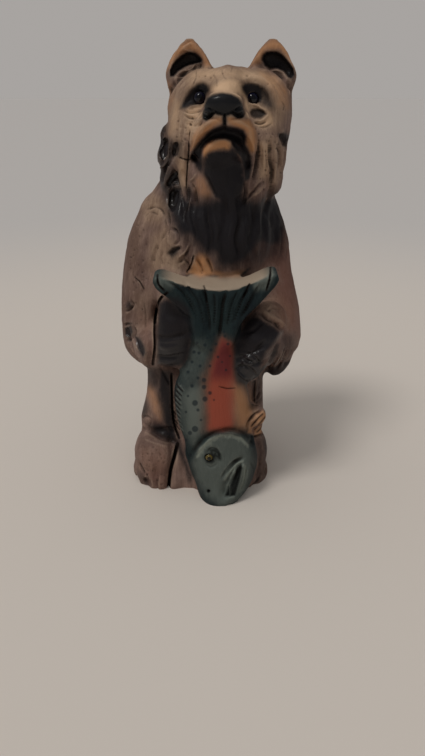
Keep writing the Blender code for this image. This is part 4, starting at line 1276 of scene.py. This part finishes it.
def grain_group():
    """Weathered upright grain in two tones, with its height."""
    group, inside, outside = new_group(
        "weathered grain",
        (("Light", "Color"), ("Dark", "Color")),
        (("Color", "Color"), ("Height", "Float")))
    light = inside.outputs["Light"]
    dark = inside.outputs["Dark"]
    streaks = noise(group, *GRAIN_STREAKS)
    blotches = noise(group, *GRAIN_BLOTCHES)
    specks = noise(group, *GRAIN_SPECKS)
    scratches = noise(group, *GRAIN_SCRATCHES)
    blend = plus(group, times(group, streaks, 0.3), times(group, blotches, 0.7))
    colour = mix_colour(group, soft_step(group, blend, 0.34, 0.66), light, dark)
    colour = mix_colour(group, times(group, soft_step(group, specks, 0.54, 0.7), 0.5), colour, dark)
    colour = mix_colour(group, times(group, soft_step(group, scratches, 0.53, 0.66), 0.34), colour, dark)
    colour = mix_colour(group, times(group, soft_step(group, scratches, 0.44, 0.34), 0.4), colour, light)
    group.links.new(colour, outside.inputs["Color"])
    height = plus(group, times(group, streaks, 0.45), times(group, specks, 0.3))
    height = plus(group, height, times(group, scratches, -0.35))
    group.links.new(height, outside.inputs["Height"])
    return group


def paint_group():
    """Paint laid over a colour, thin and broken at its edges."""
    group, inside, outside = new_group(
        "brushed paint",
        (("Under", "Color"), ("Paint", "Color"),
         ("Amount", "Float"), ("Breakup", "Float"), ("Cover", "Float")),
        (("Color", "Color"), ("Mask", "Float")))
    coarse = noise(group, *BRUSH_STROKES)
    fine = noise(group, *BRUSH_HAIRS)
    grit = minus(group, plus(group, times(group, coarse, 0.6), times(group, fine, 0.4)), 0.5)
    grit = times(group, grit, times(group, inside.outputs["Breakup"], 2.2))
    amount = inside.outputs["Amount"]
    edge = times(group, times(group, amount, minus(group, 1.0, amount)), 4.0)
    shaken = plus(group, amount, times(group, grit, edge))
    mask = times(group, shaken, inside.outputs["Cover"], clamp=True)
    colour = mix_colour(group, mask, inside.outputs["Under"], inside.outputs["Paint"])
    group.links.new(colour, outside.inputs["Color"])
    group.links.new(mask, outside.inputs["Mask"])
    return group


def grain_tones(tree, grain, light, dark):
    """Weathered grain in these two tones."""
    node = add(tree, "ShaderNodeGroup", node_tree=grain)
    node.inputs["Light"].default_value = light
    node.inputs["Dark"].default_value = dark
    return node


def lay_paint(tree, brushed, under, paint, amount, breakup, cover=1.0):
    """The colour and the mask after one more paint is laid over a colour."""
    node = add(tree, "ShaderNodeGroup", node_tree=brushed)
    tree.links.new(under, node.inputs["Under"])
    tree.links.new(amount, node.inputs["Amount"])
    node.inputs["Breakup"].default_value = breakup
    node.inputs["Cover"].default_value = cover
    if isinstance(paint, tuple):
        node.inputs["Paint"].default_value = paint
    else:
        tree.links.new(paint, node.inputs["Paint"])
    return node.outputs["Color"], node.outputs["Mask"]


def lay_paints(tree, brushed, under, paints):
    """The colour after several paints are laid over it in turn, each where the mesh says."""
    for name, paint, breakup, cover in paints:
        under, _ = lay_paint(tree, brushed, under, paint, attribute(tree, name), breakup, cover)
    return under


def new_material(name):
    """A material with its shader tree and its Principled shader."""
    material = bpy.data.materials.new(name)
    material.use_nodes = True
    tree = material.node_tree
    return material, tree, tree.nodes["Principled BSDF"]


def trout_colour(tree, grain, brushed):
    """The trout's teal sides, its red band and its pale tail."""
    # Teal sides with paler paint, which on the gill cover's rim and beside the fin's strokes is a painted
    # highlight.
    fish = lay_paints(tree, brushed, grain_tones(tree, grain, *TEAL).outputs["Color"], TROUT_PAINTS)
    deep = times(tree, attribute(tree, "deep_red"), attribute(tree, "red_band"))
    fish, _ = lay_paint(tree, brushed, fish, DEEP_RED_PAINT, deep, 0.4, 0.85)
    fish, _ = lay_paint(tree, brushed, fish, TAIL_CREAM, attribute(tree, "tail_top"), 0.4, 0.92)
    return fish


def worn_and_highlit_edges(tree, brushed, colour, soot_and_shade, trout):
    """Edges: worn to bare wood where nothing is painted, and painted highlights in pale teal on the trout's
    edges and rims.
    """
    unpainted = minus(tree, 1.0, math_node(tree, "MAXIMUM", soot_and_shade, trout), clamp=True)
    worn = times(tree, attribute(tree, "edge"), unpainted)
    colour, _ = lay_paint(tree, brushed, colour, WORN_WOOD, worn, 0.7, 0.4)
    # Painted highlights on the trout's raised edges.
    trout_edge_highlight = times(tree, attribute(tree, "edge"), times(tree, trout, attribute(tree, "pale_teal_and_highlights")))
    colour, _ = lay_paint(tree, brushed, colour, TEAL_EDGE_HIGHLIGHT, trout_edge_highlight, 0.7, 0.5)
    # Painted highlights on the rims of the gill cover and the upper jaw.
    colour, _ = lay_paint(tree, brushed, colour, RIM_HIGHLIGHT_TONE, attribute(tree, "rim_highlights"), 0.6, 0.6)
    return colour


def painted_wood(grain, brushed):
    """The log's wood with everything painted on it."""
    material, tree, shader = new_material("painted carved wood")
    wood = grain_tones(tree, grain, *STAINED_WOOD)
    # Paler wood, partly painted light on what faces the light from above.
    paler_and_lit = grain_tones(tree, grain, *PALER_AND_LIT_WOOD)
    colour, _ = lay_paint(tree, brushed, wood.outputs["Color"], paler_and_lit.outputs["Color"],
                          attribute(tree, "paler_and_lit"), 0.5)
    # Pale and orange paint, and the redder stain, which is painted shade on the left arm.
    colour = lay_paints(tree, brushed, colour, WOOD_PAINTS)
    without_fin = minus(tree, 1.0, times(tree, attribute(tree, "orange_tan"), 0.9))
    trout = times(tree, attribute(tree, "trout"), without_fin)
    colour, _ = lay_paint(tree, brushed, colour, trout_colour(tree, grain, brushed), trout, 0.3)
    spots = times(tree, soft_step(tree, attribute(tree, "spots"), *SPOT_EDGE), attribute(tree, "trout"))
    colour, _ = lay_paint(tree, brushed, colour, SPOT_BLUE, spots, 0.7, 0.75)
    # Black paint, with painted shade in the hollows and under the chin.
    colour, soot_and_shade = lay_paint(tree, brushed, colour, SOOT_AND_SHADE_BLACK, attribute(tree, "soot_and_shade"), 0.6, 0.98)
    # Painted shade in the broad hollows and the fine crevices.
    colour = lay_paints(tree, brushed, colour, HOLLOW_SHADE)
    colour = worn_and_highlit_edges(tree, brushed, colour, soot_and_shade, trout)
    colour, nose = lay_paint(tree, brushed, colour, NOSE_PAINT, attribute(tree, "nose_black"), 0.15)
    # Painted shade in the mouths, the nostrils and round the trout's eye.
    colour, hole = lay_paint(tree, brushed, colour, HOLE_SHADE_BLACK, attribute(tree, "shaded_holes"), 0.1)
    # Painted shade inside the cracks and cuts.
    colour, _ = lay_paint(tree, brushed, colour, SLIT_SHADE_BROWN, attribute(tree, "crack"), 0.1)
    tree.links.new(colour, shader.inputs["Base Color"])
    varnish = plus(tree, times(tree, soot_and_shade, 0.06), times(tree, nose, 0.3))
    varnish = plus(tree, varnish, times(tree, attribute(tree, "glossy"), 0.6))
    tree.links.new(varnish, shader.inputs["Coat Weight"])
    shader.inputs["Coat Roughness"].default_value = 0.22
    shader.inputs["Specular IOR Level"].default_value = 0.16
    rough = minus(tree, 0.66, times(tree, soot_and_shade, 0.1))
    rough = plus(tree, rough, times(tree, hole, 0.3))
    rough = plus(tree, rough, times(tree, wood.outputs["Height"], 0.12), clamp=True)
    tree.links.new(rough, shader.inputs["Roughness"])
    bump = add(tree, "ShaderNodeBump")
    bump.inputs["Strength"].default_value = 0.8
    bump.inputs["Distance"].default_value = GRAIN_HEIGHT
    tree.links.new(wood.outputs["Height"], bump.inputs["Height"])
    tree.links.new(bump.outputs["Normal"], shader.inputs["Normal"])
    return material


def eye_glass(name, front, radius, ring, ring_share):
    """Dark glass with a coloured ring round the pupil, whose middle is the ball's front point."""
    material, tree, shader = new_material(name)
    place = add(tree, "ShaderNodeTexCoord")
    away = add(tree, "ShaderNodeVectorMath", operation="SUBTRACT")
    tree.links.new(place.outputs["Object"], away.inputs[0])
    away.inputs[1].default_value = front
    length = add(tree, "ShaderNodeVectorMath", operation="LENGTH")
    tree.links.new(away.outputs["Vector"], length.inputs[0])
    share = math_node(tree, "DIVIDE", length.outputs["Value"], radius)
    colour = mix_colour(tree, soft_step(tree, share, ring_share, ring_share + 0.12), PUPIL_BLACK, ring)
    colour = mix_colour(tree, soft_step(tree, share, *EYE_RIM), colour, RIM_BLACK)
    tree.links.new(colour, shader.inputs["Base Color"])
    shader.inputs["Roughness"].default_value = 0.06
    shader.inputs["Specular IOR Level"].default_value = 0.35
    return material


def glass_eye(node, name, ring, ring_share):
    """A glossy ball eye, with a dark pupil towards the front and a coloured ring round it."""
    shape = merged(node)
    bmesh.ops.scale(shape, vec=(0.001, 0.001, 0.001), verts=shape.verts)
    mesh = as_mesh(shape, name)
    eye = new_object(name, mesh)
    places = np.array([vert.co[:] for vert in mesh.vertices])
    middle = (places.max(axis=0) + places.min(axis=0)) / 2
    radius = float(np.ptp(places[:, 2]) / 2)
    front = tuple(middle + np.array([0, -radius, 0]))
    smooth = eye.modifiers.new("round", "SUBSURF")
    smooth.levels = 2
    smooth.render_levels = 2
    mesh.shade_smooth()
    mesh.materials.clear()
    mesh.materials.append(eye_glass(name + " glass", front, radius, ring, ring_share))
    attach(eye, "root")
    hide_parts(node.name)


def pale_floor():
    """A wide floor that takes the backdrop's tone far off."""
    shape = bmesh.new()
    bmesh.ops.create_grid(shape, x_segments=1, y_segments=1, size=60)
    floor = new_object("pale_floor", as_mesh(shape, "pale_floor"))
    material, tree, shader = new_material("pale floor")
    place = add(tree, "ShaderNodeTexCoord")
    length = add(tree, "ShaderNodeVectorMath", operation="LENGTH")
    tree.links.new(place.outputs["Object"], length.inputs[0])
    far = soft_step(tree, length.outputs["Value"], FLOOR_NEAR, FLOOR_FAR)
    tree.links.new(mix_colour(tree, far, FLOOR_NEAR_TONE, FLOOR_FAR_TONE), shader.inputs["Base Color"])
    shader.inputs["Roughness"].default_value = 0.9
    shader.inputs["Specular IOR Level"].default_value = 0.1
    floor.data.materials.append(material)


def backdrop():
    """Dim room light, and a pale backdrop where the view passes everything."""
    world = bpy.data.worlds.new("pale studio")
    bpy.context.scene.world = world
    world.use_nodes = True
    tree = world.node_tree
    room = tree.nodes["Background"]
    room.inputs["Color"].default_value = ROOM_TONE
    room.inputs["Strength"].default_value = ROOM_STRENGTH
    wall = add(tree, "ShaderNodeBackground")
    wall.inputs["Color"].default_value = BACKDROP_TONE
    seen = add(tree, "ShaderNodeLightPath")
    mix = add(tree, "ShaderNodeMixShader")
    tree.links.new(seen.outputs["Is Camera Ray"], mix.inputs[0])
    tree.links.new(room.outputs[0], mix.inputs[1])
    tree.links.new(wall.outputs[0], mix.inputs[2])
    tree.links.new(mix.outputs[0], tree.nodes["World Output"].inputs["Surface"])


def lamps():
    """A closer light high at the front left, and a broad soft one from overhead."""
    for name, energy, angle, place, glints in LAMPS:
        lamp = bpy.data.lights.new(name, "SUN")
        lamp.energy = energy
        lamp.angle = math.radians(angle)
        lamp.color = LAMP_TONE
        light = new_object(name, lamp)
        light.visible_glossy = glints
        light.rotation_euler = Vector(place).to_track_quat("Z", "Y").to_euler()
    bpy.context.scene.view_settings.view_transform = "Standard"


def front_camera():
    """The front view's camera."""
    camera = bpy.data.cameras.new("front")
    camera.sensor_fit = "VERTICAL"
    camera.sensor_height = SENSOR_HEIGHT
    camera.lens = SENSOR_HEIGHT * CAMERA_LENS / VIEW_HEIGHT
    made = new_object("front", camera)
    made.location = [c / 1000 for c in CAMERA_PLACE]
    made.rotation_euler = (math.radians(90 - CAMERA_PITCH), 0, 0)
    bpy.context.scene.camera = made


def bear_log(node, low, high):
    """The carved and painted log, in the place of its solid."""
    mesh = carve_log(node, 1000 * np.array(low), 1000 * np.array(high))
    paint_log(mesh)
    mesh.transform(Matrix.Scale(0.001, 4))
    mesh.shade_smooth()
    mesh.set_sharp_from_angle(angle=math.radians(SHARP_EDGE))
    log = new_object("carved_log", mesh)
    mesh.materials.clear()
    mesh.materials.append(painted_wood(grain_group(), paint_group()))
    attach(log, "root")
    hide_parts(node.name)


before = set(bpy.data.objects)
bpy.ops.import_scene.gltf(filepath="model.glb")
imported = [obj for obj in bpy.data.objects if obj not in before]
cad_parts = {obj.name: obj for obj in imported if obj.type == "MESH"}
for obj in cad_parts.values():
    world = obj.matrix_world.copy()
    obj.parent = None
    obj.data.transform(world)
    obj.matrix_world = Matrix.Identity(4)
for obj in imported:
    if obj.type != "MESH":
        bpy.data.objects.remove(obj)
solid_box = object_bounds()
bear_log(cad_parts["carved_bear"], *solid_box)
for node, piece, slot, ring, ring_share in GLASS_EYES:
    glass_eye(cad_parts[node], piece, ring, ring_share)
pale_floor()
backdrop()
lamps()
front_camera()
